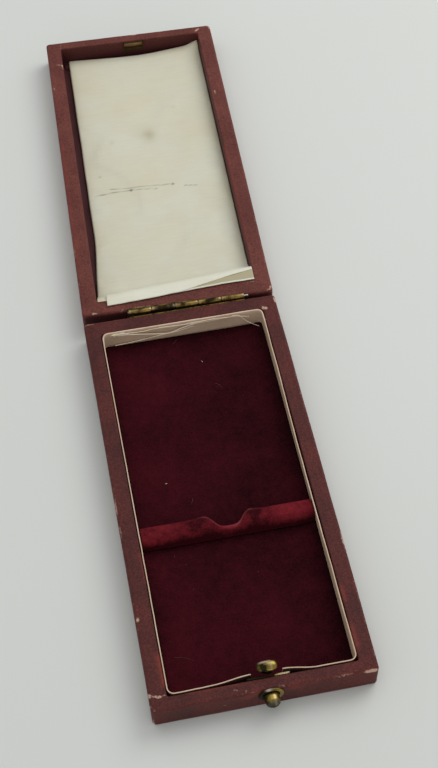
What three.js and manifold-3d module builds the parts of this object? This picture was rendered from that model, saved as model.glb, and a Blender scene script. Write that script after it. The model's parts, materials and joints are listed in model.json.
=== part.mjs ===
// An open presentation case for a medal: a shallow tray and a matching lid, joined by a brass
// hinge and held shut by a push-button catch. Millimetres, +Z up, origin at the centre of the
// tray's underside. The lid lies open behind the tray, towards +Y.

import * as THREE from "three";
import { mergeVertices } from "three/addons/utils/BufferGeometryUtils.js";
import Module from "manifold-3d";

const wasm = await Module();
wasm.setup();

// ---------------------------------------------------------------- driving dimensions

const CASE_WIDTH = 55;
const TRAY_LENGTH = 118;
const LID_LENGTH = 117.7;
const HALF_HEIGHT = 8; // each half, from its base to its rim
const CORNER_RADIUS = 1.0;
const CORE_CORNER = 0.2; // the wood inside the leathercloth is nearly square

const CLOTH = 0.35; // leathercloth
const BASE_CLOTH = 0.3; // the panel under each half
const LAYER_GAP = 0.1; // glue line between layers
const BOARD = { tray: 1.2, lid: 0.7 };
const TURN_IN = { tray: 3.2, lid: 6.4 }; // how far the leathercloth turns down inside the rim

const HINGE_GAP = 2.2; // between the two halves when open
const AXIS_RISE = 0.3; // hinge axis above the rims
const LID_SKEW = THREE.MathUtils.degToRad(1.77); // the hinge was set this much out of square
const HINGE_CENTRE = 2.25;
const HINGE_LENGTH = 33.4;
const KNUCKLES = 5;
const KNUCKLE_RADIUS = 0.75;
const PIN_RADIUS = 0.3;
const PIN_BORE = 0.36;
const LEAF = { thickness: 0.4, depth: 5.0, backing: 0.35 };

const CARD = 0.5; // the strip that lines the tray
const CARD_PROUD = 0.3; // how far the strip stands above the rim
const CARD_CORNER = 1.8;
const CARD_BOW = 1.05; // the strip's ends are pushed in by the catch plate
const CARD_ENDS = { right: 4.9, left: -2.8 };
const BED_DEPTH = 4.9; // rim down to the velvet
const VELVET = 0.7;
const BED_CARD = 0.6;

// The ridge's sides are measured from the tray's front face.
const RIDGE = { front: 45.3, rear: 50.3, top: -0.7, cloth: 0.5, round: 1.9 };
const NOTCH = { x: 0.3, radius: 4.3, behind: 0.6 }; // a round thumb notch, centred behind the ridge

const CLASP_X = 1.2;
const CLASP_DROP = 2.3; // button axis below the rim
const BUTTON = { radius: 1.85, proud: 3.4, back: 0.2, dome: 0.8 };
const COLLAR = { flange: 3.1, lip: 0.5, barrel: 2.1, bore: 1.95, end: 3.1, shoulder: 0.3, eye: 0.8 };
const STEM_RADIUS = 0.6;
const SPRING = { radius: 1.25, wire: 0.15, turns: 5, steps: 14, sides: 5 };
const CATCH = { width: 5.2, neck: 2.6, front: 4.4, back: 6.9, beak: 3.8, top: 2.4 };
const PLATE = { halfWidth: 5.2, thickness: 0.35, front: 3.4, low: -4.7, high: 0.1 };
const STRIKER = { halfWidth: 3.4, thickness: 0.35, low: -3.7, high: -0.3 };
const STRIKER_TACK = { radius: 0.24, spread: 2.4, level: -3.1 };
const SLOT = { halfWidth: 3.0, low: -2.5, high: -0.6, recess: 0.5 };

const PAD = { card: 0.35, wadding: 0.75, satin: 0.25, sideGap: 0.7, endGap: 0.9 };

// Each half is drawn from the hinge edge: x across, t away from the hinge, h above the rim.
const TRAY = {
  name: "tray", length: TRAY_LENGTH, near: 4.9, far: 3.3, side: 4.4,
  y: (t) => TRAY_LENGTH / 2 - t, away: -1,
};
const LID = {
  name: "lid", length: LID_LENGTH, near: 5.2, far: 3.4, side: 4.65,
  y: (t) => t, away: 1,
};

// ---------------------------------------------------------------- materials

function finish(color, roughness, metalness = 0) {
  return new THREE.MeshStandardMaterial({ color, roughness, metalness });
}

const leathercloth = finish(0x62383a, 0.55);
const lidLeathercloth = finish(0x6c423e, 0.55);
const baseCloth = finish(0x3c2224, 0.8);
const pine = finish(0xb08a5c, 0.75);
const board = finish(0x8d7a5e, 0.9);
const creamCard = finish(0xb9a287, 0.85);
const velvet = finish(0x340c14, 1.0);
const redVelvet = finish(0x62141c, 1.0);
const brass = finish(0x8a7d3a, 0.4, 1.0);
const springSteel = finish(0x7c7c78, 0.35, 1.0);
const satin = finish(0xcbc7b2, 0.45);
const cottonWadding = finish(0xe2ddd0, 0.95);

// ---------------------------------------------------------------- shapes

function solid(geometry) {
  const bare = geometry.index ? geometry.clone() : geometry;
  bare.deleteAttribute("normal");
  bare.deleteAttribute("uv");
  const merged = mergeVertices(bare, 1e-5);
  return new wasm.Manifold(new wasm.Mesh({
    numProp: 3,
    vertProperties: new Float32Array(merged.attributes.position.array),
    triVerts: new Uint32Array(merged.index.array),
  }));
}

function geometryOf(body) {
  const mesh = body.getMesh();
  const geometry = new THREE.BufferGeometry();
  geometry.setAttribute("position", new THREE.BufferAttribute(mesh.vertProperties, 3));
  geometry.setIndex(new THREE.BufferAttribute(mesh.triVerts, 1));
  return geometry;
}

function cut(base, ...tools) {
  return geometryOf(tools.reduce((left, tool) => left.subtract(solid(tool)), solid(base)));
}

function join(...pieces) {
  return geometryOf(pieces.slice(1).reduce((sum, piece) => sum.add(solid(piece)), solid(pieces[0])));
}

// A block between two values on each axis, in a half's own x, t, h.
function block(half, [x0, x1], [t0, t1], [h0, h1]) {
  const geometry = new THREE.BoxGeometry(x1 - x0, t1 - t0, h1 - h0);
  return geometry.translate((x0 + x1) / 2, half.y((t0 + t1) / 2), (h0 + h1) / 2);
}

function prism(outline, h0, h1) {
  const shape = new THREE.Shape(outline);
  const settings = { depth: h1 - h0, bevelEnabled: false, curveSegments: 6 };
  return new THREE.ExtrudeGeometry(shape, settings).translate(0, 0, h0);
}

// The four rounded corners of a rectangle, as points running anticlockwise.
function roundedRectangle(x0, x1, y0, y1, radius, steps = 5) {
  const corners = [
    [x1 - radius, y0 + radius, -Math.PI / 2],
    [x1 - radius, y1 - radius, 0],
    [x0 + radius, y1 - radius, Math.PI / 2],
    [x0 + radius, y0 + radius, Math.PI],
  ];
  return corners.flatMap(([cx, cy, start]) => arc(cx, cy, radius, start, start + Math.PI / 2, steps));
}

function arc(cx, cy, radius, start, end, steps) {
  return Array.from({ length: steps + 1 }, (_, i) => {
    const angle = start + ((end - start) * i) / steps;
    return new THREE.Vector2(cx + radius * Math.cos(angle), cy + radius * Math.sin(angle));
  });
}

// A half's outline, drawn in from its outer faces by `inset`.
function footprint(half, inset, h0, h1, radius = CORNER_RADIUS) {
  const x = CASE_WIDTH / 2 - inset;
  const ends = [half.y(inset), half.y(half.length - inset)];
  const outline = roundedRectangle(-x, x, Math.min(...ends), Math.max(...ends), radius);
  return prism(outline, h0, h1);
}

// A round piece on an axis along the case, given as [radius, t] points. t runs away from the hinge.
function turned(half, profile, x, h, sides = 28) {
  const points = profile.map(([radius, t]) => new THREE.Vector2(radius, t));
  const lathe = new THREE.LatheGeometry(points, sides);
  if (half.away < 0) {
    lathe.rotateX(Math.PI);
  }
  return lathe.translate(x, half.y(0), h);
}

// ---------------------------------------------------------------- the two boxes

const RAIL_INSET = CLOTH + LAYER_GAP;

function boardTop(half) {
  return -HALF_HEIGHT + BASE_CLOTH + LAYER_GAP + BOARD[half.name];
}

function railLevels(half) {
  return [boardTop(half) + LAYER_GAP, -CLOTH - LAYER_GAP];
}

function boxBoard(half) {
  return footprint(half, RAIL_INSET, boardTop(half) - BOARD[half.name], boardTop(half), CORE_CORNER);
}

// The end rails run the full width, and the side rails are butted between them.
function endRail(half, t0, t1) {
  const x = CASE_WIDTH / 2 - RAIL_INSET;
  return block(half, [-x, x], [t0, t1], railLevels(half));
}

function nearRail(half) {
  const rail = endRail(half, RAIL_INSET, half.near - RAIL_INSET);
  return cut(rail, leafRecess(half), ...nailPlaces().map((x) => nailHole(half, x)));
}

function farRail(half) {
  return endRail(half, half.length - half.far + RAIL_INSET, half.length - RAIL_INSET);
}

function sideRail(half, side) {
  const x = [CASE_WIDTH / 2 - RAIL_INSET, CASE_WIDTH / 2 - half.side + RAIL_INSET].map((v) => v * side);
  const t = [half.near - RAIL_INSET + LAYER_GAP, half.length - half.far + RAIL_INSET - LAYER_GAP];
  return block(half, x.sort((a, b) => a - b), t, railLevels(half));
}

// Leathercloth: up the outside, over the rims and turned down inside them.
function covering(half, ...holes) {
  const [low, high] = [-HALF_HEIGHT + BASE_CLOTH + LAYER_GAP / 2, 0];
  const x = CASE_WIDTH / 2 - half.side;
  const t = [half.near, half.length - half.far];
  const behindLip = CLOTH + 0.001;
  const core = footprint(half, CLOTH, low - 1, high - CLOTH, CORE_CORNER);
  const lip = block(half, [-x - behindLip, x + behindLip], [t[0] - behindLip, t[1] + behindLip],
    [-TURN_IN[half.name], high]);
  const hollow = cut(core, lip);
  const opening = block(half, [-x, x], t, [low - 1, high + 1]);
  return cut(footprint(half, 0, low, high), hollow, opening, leafRecess(half), ...holes);
}

function basePanel(half) {
  return footprint(half, 0.4, -HALF_HEIGHT, -HALF_HEIGHT + BASE_CLOTH);
}

// ---------------------------------------------------------------- hinge

// The axis lies askew, so its distance behind a half's hinge edge changes along it.
function axisDistance(x) {
  return HINGE_GAP / 2 - (x * Math.sin(LID_SKEW / 2)) / Math.cos(LID_SKEW / 2);
}

function leafRecess(half) {
  const reach = HINGE_LENGTH / 2 + 0.3;
  const depth = LEAF.thickness + LEAF.backing;
  return block(half, [HINGE_CENTRE - reach, HINGE_CENTRE + reach], [-1, depth], [-LEAF.depth - 0.3, 1]);
}

function nailPlaces() {
  return [-12, 0, 12].map((x) => HINGE_CENTRE + x);
}

const NAIL = { head: 0.65, rise: 0.2, shank: 0.3, length: 2.6, level: -3, hole: 0.4 };
const LEAF_FACE = 0.05; // the leaf's outer face, just inside the leathercloth's

function nailHole(half, x) {
  const profile = [[0, 0], [NAIL.hole, 0], [NAIL.hole, NAIL.length + 0.3], [0, NAIL.length + 0.3]];
  return turned(half, profile, x, NAIL.level, 12);
}

function nail(half, x) {
  const profile = [
    [0, LEAF_FACE - NAIL.rise], [NAIL.head * 0.6, LEAF_FACE - NAIL.rise],
    [NAIL.head, LEAF_FACE - 0.05], [NAIL.head, LEAF_FACE - 0.02],
    [NAIL.shank, LEAF_FACE - 0.02], [NAIL.shank, NAIL.length - 0.6], [0, NAIL.length],
  ];
  return turned(half, profile, x, NAIL.level, 12);
}

// A tube or rod along the hinge axis, from s0 to s1 measured from the middle of the hinge.
function onAxis(half, outer, inner, s0, s1, sides) {
  const ring = new THREE.Shape(arc(0, 0, outer, 0, 2 * Math.PI, sides).slice(0, -1));
  if (inner > 0) {
    ring.holes.push(new THREE.Path(arc(0, 0, inner, 0, -2 * Math.PI, sides).slice(0, -1)));
  }
  const tube = new THREE.ExtrudeGeometry(ring, { depth: s1 - s0, bevelEnabled: false });
  tube.translate(0, 0, s0).rotateY(Math.PI / 2).rotateZ((half.away * LID_SKEW) / 2);
  return tube.translate(HINGE_CENTRE, half.y(-axisDistance(HINGE_CENTRE)), AXIS_RISE);
}

function hingeLeaf(half, firstKnuckle) {
  const pitch = HINGE_LENGTH / KNUCKLES;
  const ends = [HINGE_CENTRE - HINGE_LENGTH / 2, HINGE_CENTRE + HINGE_LENGTH / 2];
  let leaf = block(half, ends, [LEAF_FACE, LEAF_FACE + LEAF.thickness], [-LEAF.depth, -0.02]);
  for (let i = firstKnuckle; i < KNUCKLES; i += 2) {
    const s0 = -HINGE_LENGTH / 2 + i * pitch + 0.1;
    const s1 = s0 + pitch - 0.2;
    const reach = axisDistance(HINGE_CENTRE + (s0 + s1) / 2);
    const web = block(half, [HINGE_CENTRE + s0 + 0.1, HINGE_CENTRE + s1 - 0.1],
      [-reach + PIN_BORE + 0.12, LEAF_FACE + 0.1], [-0.4, -0.04]);
    leaf = join(leaf, web, onAxis(half, KNUCKLE_RADIUS, PIN_BORE, s0, s1, 16));
  }
  const holes = nailPlaces().map((x) => turned(half, [[0, -1], [NAIL.hole, -1], [NAIL.hole, 1], [0, 1]],
    x, NAIL.level, 12));
  return cut(leaf, ...holes);
}

function hingePin() {
  return onAxis(TRAY, PIN_RADIUS, 0, -HINGE_LENGTH / 2 - 0.2, HINGE_LENGTH / 2 + 1.2, 12);
}

// ---------------------------------------------------------------- tray lining

const WALL_X = CASE_WIDTH / 2 - TRAY.side - LAYER_GAP;
const WALL_Y = {
  front: -TRAY_LENGTH / 2 + TRAY.far + LAYER_GAP,
  rear: TRAY_LENGTH / 2 - TRAY.near - LAYER_GAP,
};
const RIDGE_Y = { front: -TRAY_LENGTH / 2 + RIDGE.front, rear: -TRAY_LENGTH / 2 + RIDGE.rear };
const BED_CARD_LEVELS = [boardTop(TRAY) + LAYER_GAP, boardTop(TRAY) + LAYER_GAP + BED_CARD];
const LINING_FOOT = BED_CARD_LEVELS[1] + LAYER_GAP;

// The line of the tray's inside wall, drawn in by `inset`: from the right of the catch, round the
// tray, to the catch's left. Beside the catch it bows inwards.
function wallLine(inset) {
  const x = WALL_X - inset;
  const [front, rear] = [WALL_Y.front + inset, WALL_Y.rear - inset];
  const r = CARD_CORNER - inset;
  const bowed = [[0, CARD_BOW], [4.5, CARD_BOW * 0.45], [9, 0]]; // [beyond the strip's end, bow]
  return [
    ...bowed.map(([along, bow]) => new THREE.Vector2(CARD_ENDS.right + along, front + bow)),
    ...arc(x - r, front + r, r, -Math.PI / 2, 0, 5),
    ...arc(x - r, rear - r, r, 0, Math.PI / 2, 5),
    ...arc(-x + r, rear - r, r, Math.PI / 2, Math.PI, 5),
    ...arc(-x + r, front + r, r, Math.PI, (3 * Math.PI) / 2, 5),
    ...bowed.reverse().map(([along, bow]) => new THREE.Vector2(CARD_ENDS.left - along, front + bow)),
  ];
}

function linerStrip() {
  return prism([...wallLine(0), ...wallLine(CARD).reverse()], LINING_FOOT, CARD_PROUD);
}

function bedCard() {
  return prism(roundedRectangle(-WALL_X, WALL_X, WALL_Y.front, WALL_Y.rear, CORE_CORNER), ...BED_CARD_LEVELS);
}

// A velvet bed fills the space inside the liner between two places along the tray.
function velvetBed(y0, y1) {
  const inside = prism(wallLine(CARD + LAYER_GAP), LINING_FOOT, -BED_DEPTH);
  const stretch = new THREE.BoxGeometry(CASE_WIDTH, y1 - y0, 2 * HALF_HEIGHT).translate(0, (y0 + y1) / 2, 0);
  return geometryOf(solid(inside).intersect(solid(stretch)));
}

// The ridge's section, rounded over its top, with the thumb notch cut from its rear side.
function ridgeBar(inset) {
  const x = WALL_X - CARD - LAYER_GAP;
  const [front, rear] = [RIDGE_Y.front + inset, RIDGE_Y.rear - inset];
  const top = RIDGE.top - inset;
  const round = RIDGE.round - inset;
  const section = new THREE.Shape([
    new THREE.Vector2(front, LINING_FOOT), new THREE.Vector2(rear, LINING_FOOT),
    ...arc(rear - round, top - round, round, 0, Math.PI / 2, 5),
    ...arc(front + round, top - round, round, Math.PI / 2, Math.PI, 5),
  ]);
  const bar = new THREE.ExtrudeGeometry(section, { depth: 2 * x, bevelEnabled: false });
  bar.rotateX(Math.PI / 2).rotateZ(Math.PI / 2).translate(-x, 0, 0);
  const radius = NOTCH.radius + inset;
  const notch = new THREE.CylinderGeometry(radius, radius, 2 * HALF_HEIGHT, 28);
  notch.rotateX(Math.PI / 2).translate(NOTCH.x, RIDGE_Y.rear + NOTCH.behind, 0);
  return cut(bar, notch);
}

function ridgeCore() {
  return ridgeBar(RIDGE.cloth + LAYER_GAP / 2);
}

function ridgeVelvet() {
  return cut(ridgeBar(0), ridgeBar(RIDGE.cloth));
}

// A strip of torn satin and its loose threads, stuck along the liner beside the hinge.
function satinRemnant() {
  const t = TRAY.near + 2 * LAYER_GAP + CARD;
  return block(TRAY, [-18.5, 20.8], [t, t + 0.25], [-1.3, 0.1]);
}

// ---------------------------------------------------------------- clasp

const FRONT = TRAY_LENGTH; // the tray's front face, as t
const clasp = (profile, sides) => turned(TRAY, profile.map(([r, d]) => [r, FRONT - d]), CLASP_X,
  -CLASP_DROP, sides);

function collar() {
  const { flange, lip, barrel, bore, end, shoulder, eye } = COLLAR;
  return clasp([
    [bore, end - shoulder], [eye, end - shoulder], [eye, end], [barrel, end], [barrel, -0.02],
    [flange, -0.02], [flange, -lip * 0.6], [flange - 0.25, -lip], [bore, -lip], [bore, end - shoulder],
  ]);
}

function pushButton() {
  const { radius, proud, back, dome } = BUTTON;
  const crown = Array.from({ length: 7 }, (_, i) => {
    const angle = (i / 6) * (Math.PI / 2);
    return [radius * Math.sin(angle), -proud + radius * dome * (1 - Math.cos(angle))];
  });
  return clasp([...crown, [radius, back], [0, back]].reverse());
}

function buttonStem() {
  return clasp([[0, BUTTON.back + 0.02], [STEM_RADIUS, BUTTON.back + 0.02],
    [STEM_RADIUS, CATCH.front - 0.02], [0, CATCH.front - 0.02]].reverse(), 16);
}

// A coil round the stem, between the button and the collar's inner shoulder.
function buttonSpring() {
  const { radius, wire, turns, steps, sides } = SPRING;
  const ends = [BUTTON.back + wire + 0.05, COLLAR.end - COLLAR.shoulder - wire - 0.05];
  class Coil extends THREE.Curve {
    getPoint(u, target = new THREE.Vector3()) {
      const angle = 2 * Math.PI * turns * u;
      const d = THREE.MathUtils.lerp(ends[0], ends[1], u);
      return target.set(CLASP_X + radius * Math.cos(angle), TRAY.y(FRONT - d),
        -CLASP_DROP + radius * Math.sin(angle));
    }
  }
  const section = new THREE.Shape(arc(0, 0, wire, 0, 2 * Math.PI, sides).slice(0, -1));
  return new THREE.ExtrudeGeometry(section, { steps: turns * steps, extrudePath: new Coil() });
}

// The hook: a neck on the stem, and a broad rounded head whose beak points at the front.
function catchHook() {
  const { width, neck, front, back, beak, top } = CATCH;
  const y = (d) => TRAY.y(FRONT - d);
  const across = (points, breadth) => {
    const shape = new THREE.Shape(points.map(([d, h]) => new THREE.Vector2(y(d), h)));
    const bar = new THREE.ExtrudeGeometry(shape, { depth: breadth, bevelEnabled: false });
    return bar.rotateX(Math.PI / 2).rotateZ(Math.PI / 2).translate(CLASP_X - breadth / 2, 0, 0);
  };
  const head = across([
    [front, -1.2], [back - 0.6, -1.2], [back, -0.4], [back, top - 1.2], [back - 0.5, top - 0.4],
    [back - 1.3, top], [front, top - 0.1], [beak, top - 0.6], [beak, top - 0.9], [front, top - 1.2],
  ], width);
  const stalk = across([[front, -3.4], [front + 1.2, -3.4], [front + 1.7, -2.6], [front + 1.7, -0.8],
    [front, -0.8]], neck);
  const plan = roundedRectangle(CLASP_X - width / 2, CLASP_X + width / 2, y(beak), y(back), 1.3, 4);
  const hook = solid(head).intersect(solid(prism(plan, -4, 4)));
  return geometryOf(hook.add(solid(stalk)));
}

const TACK = { head: 0.6, rise: 0.25, shank: 0.3, length: 2.2, spread: 4.2 };

// A round hole along the clasp's axis, from d0 to d1 behind the front face.
function claspHole(radius, d0, d1, sides) {
  return clasp([[0, d0], [radius, d0], [radius, d1], [0, d1]].reverse(), sides);
}

function tackHoles() {
  return [-1, 1].map((side) => claspHole(TACK.shank + 0.1, 1, 6, 12).translate(side * TACK.spread, 0, 0));
}

function catchPlate() {
  const t = [FRONT - PLATE.front - PLATE.thickness, FRONT - PLATE.front];
  const x = [CLASP_X - PLATE.halfWidth, CLASP_X + PLATE.halfWidth];
  const plate = block(TRAY, x, t, [PLATE.low, PLATE.high]);
  return cut(plate, claspHole(COLLAR.eye, 1, 6, 16), ...tackHoles());
}

function catchTack(side) {
  const face = PLATE.front + PLATE.thickness;
  const tack = clasp([[0, face - TACK.length], [TACK.shank, face - TACK.length + 0.5],
    [TACK.shank, face + 0.02], [TACK.head, face + 0.02], [TACK.head * 0.7, face + TACK.rise],
    [0, face + TACK.rise]].reverse(), 12);
  return tack.translate(side * TACK.spread, 0, 0);
}

// The front rail is notched from its top edge for the collar, and bored for the tacks.
function trayFrontRail() {
  const clear = COLLAR.barrel + 0.2;
  const notch = block(TRAY, [CLASP_X - clear, CLASP_X + clear], [FRONT - 6, FRONT + 1], [-CLASP_DROP, 1]);
  return cut(farRail(TRAY), claspHole(clear, -1, 6, 28), notch, ...tackHoles());
}

function trayCovering() {
  return covering(TRAY, claspHole(COLLAR.barrel + 0.08, -1, 6, 28), ...tackHoles());
}

// ---------------------------------------------------------------- lid lining and striker

const LID_INNER_X = CASE_WIDTH / 2 - LID.side;
const LID_INNER_T = [LID.near, LID_LENGTH - LID.far];

function strikerSlot(depth) {
  const wall = LID_INNER_T[1];
  return block(LID, [CLASP_X - SLOT.halfWidth, CLASP_X + SLOT.halfWidth], [wall - 1, wall + depth],
    [SLOT.low, SLOT.high]);
}

function strikerTackHole(side) {
  const wall = LID_INNER_T[1];
  const radius = STRIKER_TACK.radius + 0.1;
  return turned(LID, [[0, wall - 1], [radius, wall - 1], [radius, wall + 2.4], [0, wall + 2.4]],
    CLASP_X + side * STRIKER_TACK.spread, STRIKER_TACK.level, 12);
}

function strikerPlate() {
  const wall = LID_INNER_T[1];
  const plate = block(LID, [CLASP_X - STRIKER.halfWidth, CLASP_X + STRIKER.halfWidth],
    [wall - LAYER_GAP - STRIKER.thickness, wall - LAYER_GAP], [STRIKER.low, STRIKER.high]);
  return cut(plate, strikerSlot(0.2), strikerTackHole(-1), strikerTackHole(1));
}

function strikerTack(side) {
  const face = LID_INNER_T[1] - LAYER_GAP - STRIKER.thickness;
  const r = STRIKER_TACK.radius;
  const profile = [[0, face - 0.15], [r + 0.2, face - 0.1], [r + 0.25, face - 0.02], [r, face - 0.02],
    [r, face + 1.6], [0, face + 2.0]];
  return turned(LID, profile, CLASP_X + side * STRIKER_TACK.spread, STRIKER_TACK.level, 12);
}

function lidFarRail() {
  return cut(farRail(LID), strikerSlot(CLOTH + LAYER_GAP + SLOT.recess), strikerTackHole(-1),
    strikerTackHole(1));
}

function lidCovering() {
  return covering(LID, strikerSlot(CLOTH + 0.05), strikerTackHole(-1), strikerTackHole(1));
}

const PAD_FOOT = boardTop(LID) + LAYER_GAP;

function padLayer(inset, low, thickness, radius) {
  const x = LID_INNER_X - PAD.sideGap - inset;
  const [t0, t1] = [LID_INNER_T[0] + 0.2 + inset, LID_INNER_T[1] - PAD.endGap - inset];
  return prism(roundedRectangle(-x, x, t0, t1, radius), low, low + thickness);
}

function padCard() {
  return padLayer(0.6, PAD_FOOT, PAD.card, 0.6);
}

function padWadding() {
  return padLayer(0.6, PAD_FOOT + PAD.card + 0.05, PAD.wadding, 0.6);
}

// The satin is drawn over the pad and down its sides.
function satinLining() {
  const top = PAD_FOOT + PAD.card + PAD.wadding + 0.1;
  const outer = padLayer(0, PAD_FOOT, top + PAD.satin - PAD_FOOT, 0.9);
  const inner = padLayer(0.5, PAD_FOOT - 1, top + 1 - PAD_FOOT, 0.6);
  return cut(outer, inner);
}

// The end of the satin, folded back on itself and left lying over the rim beside the hinge.
function satinFold() {
  const outline = [[-20.1, 2.0], [22.3, 4.8], [22.3, 10.6], [-19.9, 6.6]].map(([x, t]) =>
    new THREE.Vector2(x, t));
  return prism(outline, 0.04, 0.24);
}

// ---------------------------------------------------------------- assembly

function piece(name, geometry, material) {
  const mesh = new THREE.Mesh(geometry, material);
  mesh.name = name;
  return mesh;
}

const tray = new THREE.Group();
tray.position.z = HALF_HEIGHT;
tray.add(
  piece("tray_base_cloth", basePanel(TRAY), baseCloth),
  piece("tray_board", boxBoard(TRAY), board),
  piece("tray_rail_front", trayFrontRail(), pine),
  piece("tray_rail_rear", nearRail(TRAY), pine),
  piece("tray_rail_left", sideRail(TRAY, -1), pine),
  piece("tray_rail_right", sideRail(TRAY, 1), pine),
  piece("tray_covering", trayCovering(), leathercloth),
  piece("bed_card", bedCard(), board),
  piece("velvet_rear_bed", velvetBed(RIDGE_Y.rear + LAYER_GAP, WALL_Y.rear), velvet),
  piece("velvet_front_bed", velvetBed(WALL_Y.front, RIDGE_Y.front - LAYER_GAP), velvet),
  piece("ridge_core", ridgeCore(), pine),
  piece("ridge_velvet", ridgeVelvet(), redVelvet),
  piece("liner_card", linerStrip(), creamCard),
  piece("satin_remnant", satinRemnant(), satin),
  piece("catch_plate", catchPlate(), brass),
  piece("catch_plate_tack_left", catchTack(-1), brass),
  piece("catch_plate_tack_right", catchTack(1), brass),
  piece("button_collar", collar(), brass),
  piece("button_spring", buttonSpring(), springSteel),
  piece("hinge_leaf_tray", hingeLeaf(TRAY, 0), brass),
  piece("hinge_pin", hingePin(), springSteel),
);
nailPlaces().forEach((x, i) => tray.add(piece(`tray_hinge_nail_${i + 1}`, nail(TRAY, x), brass)));

const slider = new THREE.Group();
slider.add(
  piece("push_button", pushButton(), brass),
  piece("button_stem", buttonStem(), brass),
  piece("catch_hook", catchHook(), brass),
);
tray.add(slider);

const lid = new THREE.Group();
lid.position.set(
  (HINGE_GAP / 2) * Math.sin(LID_SKEW),
  TRAY_LENGTH / 2 + HINGE_GAP / 2 + (HINGE_GAP / 2) * Math.cos(LID_SKEW),
  HALF_HEIGHT,
);
lid.rotation.z = -LID_SKEW;
lid.add(
  piece("lid_base_cloth", basePanel(LID), baseCloth),
  piece("lid_board", boxBoard(LID), board),
  piece("lid_rail_far", lidFarRail(), pine),
  piece("lid_rail_near", nearRail(LID), pine),
  piece("lid_rail_left", sideRail(LID, -1), pine),
  piece("lid_rail_right", sideRail(LID, 1), pine),
  piece("lid_covering", lidCovering(), lidLeathercloth),
  piece("pad_card", padCard(), board),
  piece("pad_wadding", padWadding(), cottonWadding),
  piece("satin_lining", satinLining(), satin),
  piece("satin_fold", satinFold(), satin),
  piece("striker_plate", strikerPlate(), brass),
  piece("striker_tack_left", strikerTack(-1), brass),
  piece("striker_tack_right", strikerTack(1), brass),
  piece("hinge_leaf_lid", hingeLeaf(LID, 1), brass),
);
nailPlaces().forEach((x, i) => lid.add(piece(`lid_hinge_nail_${i + 1}`, nail(LID, x), brass)));

const medalCase = new THREE.Group();
medalCase.add(tray, lid);

export default medalCase;
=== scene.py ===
"""An open presentation case for a medal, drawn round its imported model.

Lengths are in millimetres until `mesh_object` turns them into the frame's metres. Each half of the case is
drawn from its hinge edge: x runs across, t away from the hinge and h up from the rim.
"""

import json
import math
from functools import partial
import bmesh
import bpy
from mathutils import Matrix, Vector, noise


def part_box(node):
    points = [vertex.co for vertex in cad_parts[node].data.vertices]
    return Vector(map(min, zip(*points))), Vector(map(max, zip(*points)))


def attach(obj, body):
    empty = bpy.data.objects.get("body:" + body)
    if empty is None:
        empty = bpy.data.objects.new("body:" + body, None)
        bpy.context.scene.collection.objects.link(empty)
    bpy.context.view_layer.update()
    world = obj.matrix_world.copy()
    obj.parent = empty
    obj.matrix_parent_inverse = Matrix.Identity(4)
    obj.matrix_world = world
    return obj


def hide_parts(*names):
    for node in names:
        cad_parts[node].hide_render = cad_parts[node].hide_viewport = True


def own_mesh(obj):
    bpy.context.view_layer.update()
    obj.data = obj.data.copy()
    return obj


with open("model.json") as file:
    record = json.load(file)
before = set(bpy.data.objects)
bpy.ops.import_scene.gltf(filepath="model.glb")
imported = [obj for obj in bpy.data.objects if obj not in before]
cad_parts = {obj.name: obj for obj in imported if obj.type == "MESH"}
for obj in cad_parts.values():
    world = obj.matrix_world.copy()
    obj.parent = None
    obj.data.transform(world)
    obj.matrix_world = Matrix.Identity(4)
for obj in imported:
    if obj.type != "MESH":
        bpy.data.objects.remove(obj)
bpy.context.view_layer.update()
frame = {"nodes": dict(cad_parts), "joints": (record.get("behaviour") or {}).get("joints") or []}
nodes = frame["nodes"]

MM = 0.001

# ---------------------------------------------------------------- sizes taken from the frame


def box_mm(node):
    low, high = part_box(node)
    return low / MM, high / MM


tray_low, tray_high = box_mm("tray_covering")
liner_low, liner_high = box_mm("liner_card")
bed_low, bed_high = box_mm("velvet_rear_bed")
front_bed_low, front_bed_high = box_mm("velvet_front_bed")
ridge_low, ridge_high = box_mm("ridge_velvet")
button_low, button_high = box_mm("push_button")
hook_low, hook_high = box_mm("catch_hook")
pin_low, pin_high = box_mm("hinge_pin")
hinge = next(j for j in frame["joints"] if j["name"] == "lid_hinge")

RIM_LEVEL = tray_high.z
CASE_WIDTH = tray_high.x - tray_low.x
TRAY_LENGTH = tray_high.y - tray_low.y
LID_LENGTH = 117.7
LAYER_GAP = 0.1
CLOTH = 0.3
HALF_SKEW = math.asin(-hinge["axis"][1])
HINGE_REACH = hinge["pos_m"][1] / MM - tray_high.y  # from either half's edge to the axis
AXIS_RISE = hinge["pos_m"][2] / MM - RIM_LEVEL
HINGE_MIDDLE = (pin_low.x + pin_high.x) / 2 - 0.5  # the pin stands out 1 mm more at its right
HINGE_AXIS = Vector((math.cos(HALF_SKEW), -math.sin(HALF_SKEW), 0))
HINGE_CENTRE = Vector((HINGE_MIDDLE, hinge["pos_m"][1] / MM - HINGE_MIDDLE * math.tan(HALF_SKEW),
                       RIM_LEVEL + AXIS_RISE))

CLASP_X = (button_low.x + button_high.x) / 2
CLASP_Z = (button_low.z + button_high.z) / 2
CLASP_FRONT = Vector((CLASP_X, tray_low.y, CLASP_Z))
INTO = Vector((0, 1, 0))  # the way the button goes in


class Half:
    """One half of the case: where it lies, its size, and the widths of its rim."""

    def __init__(self, body, corner, turn, away, length, near, far, side, turn_in, floor_turn):
        self.body = body
        self.corner = Vector(corner)
        self.across = Vector((math.cos(turn), -math.sin(turn), 0))
        self.away = Vector((math.sin(turn), math.cos(turn), 0)) * away
        self.length = length
        self.near, self.far, self.side = near, far, side
        self.turn_in, self.floor_turn = turn_in, floor_turn

    def at(self, x, t, h):
        """A point of this half in the frame, in millimetres."""
        return self.corner + self.across * x + self.away * t + Vector((0, 0, h))


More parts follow.
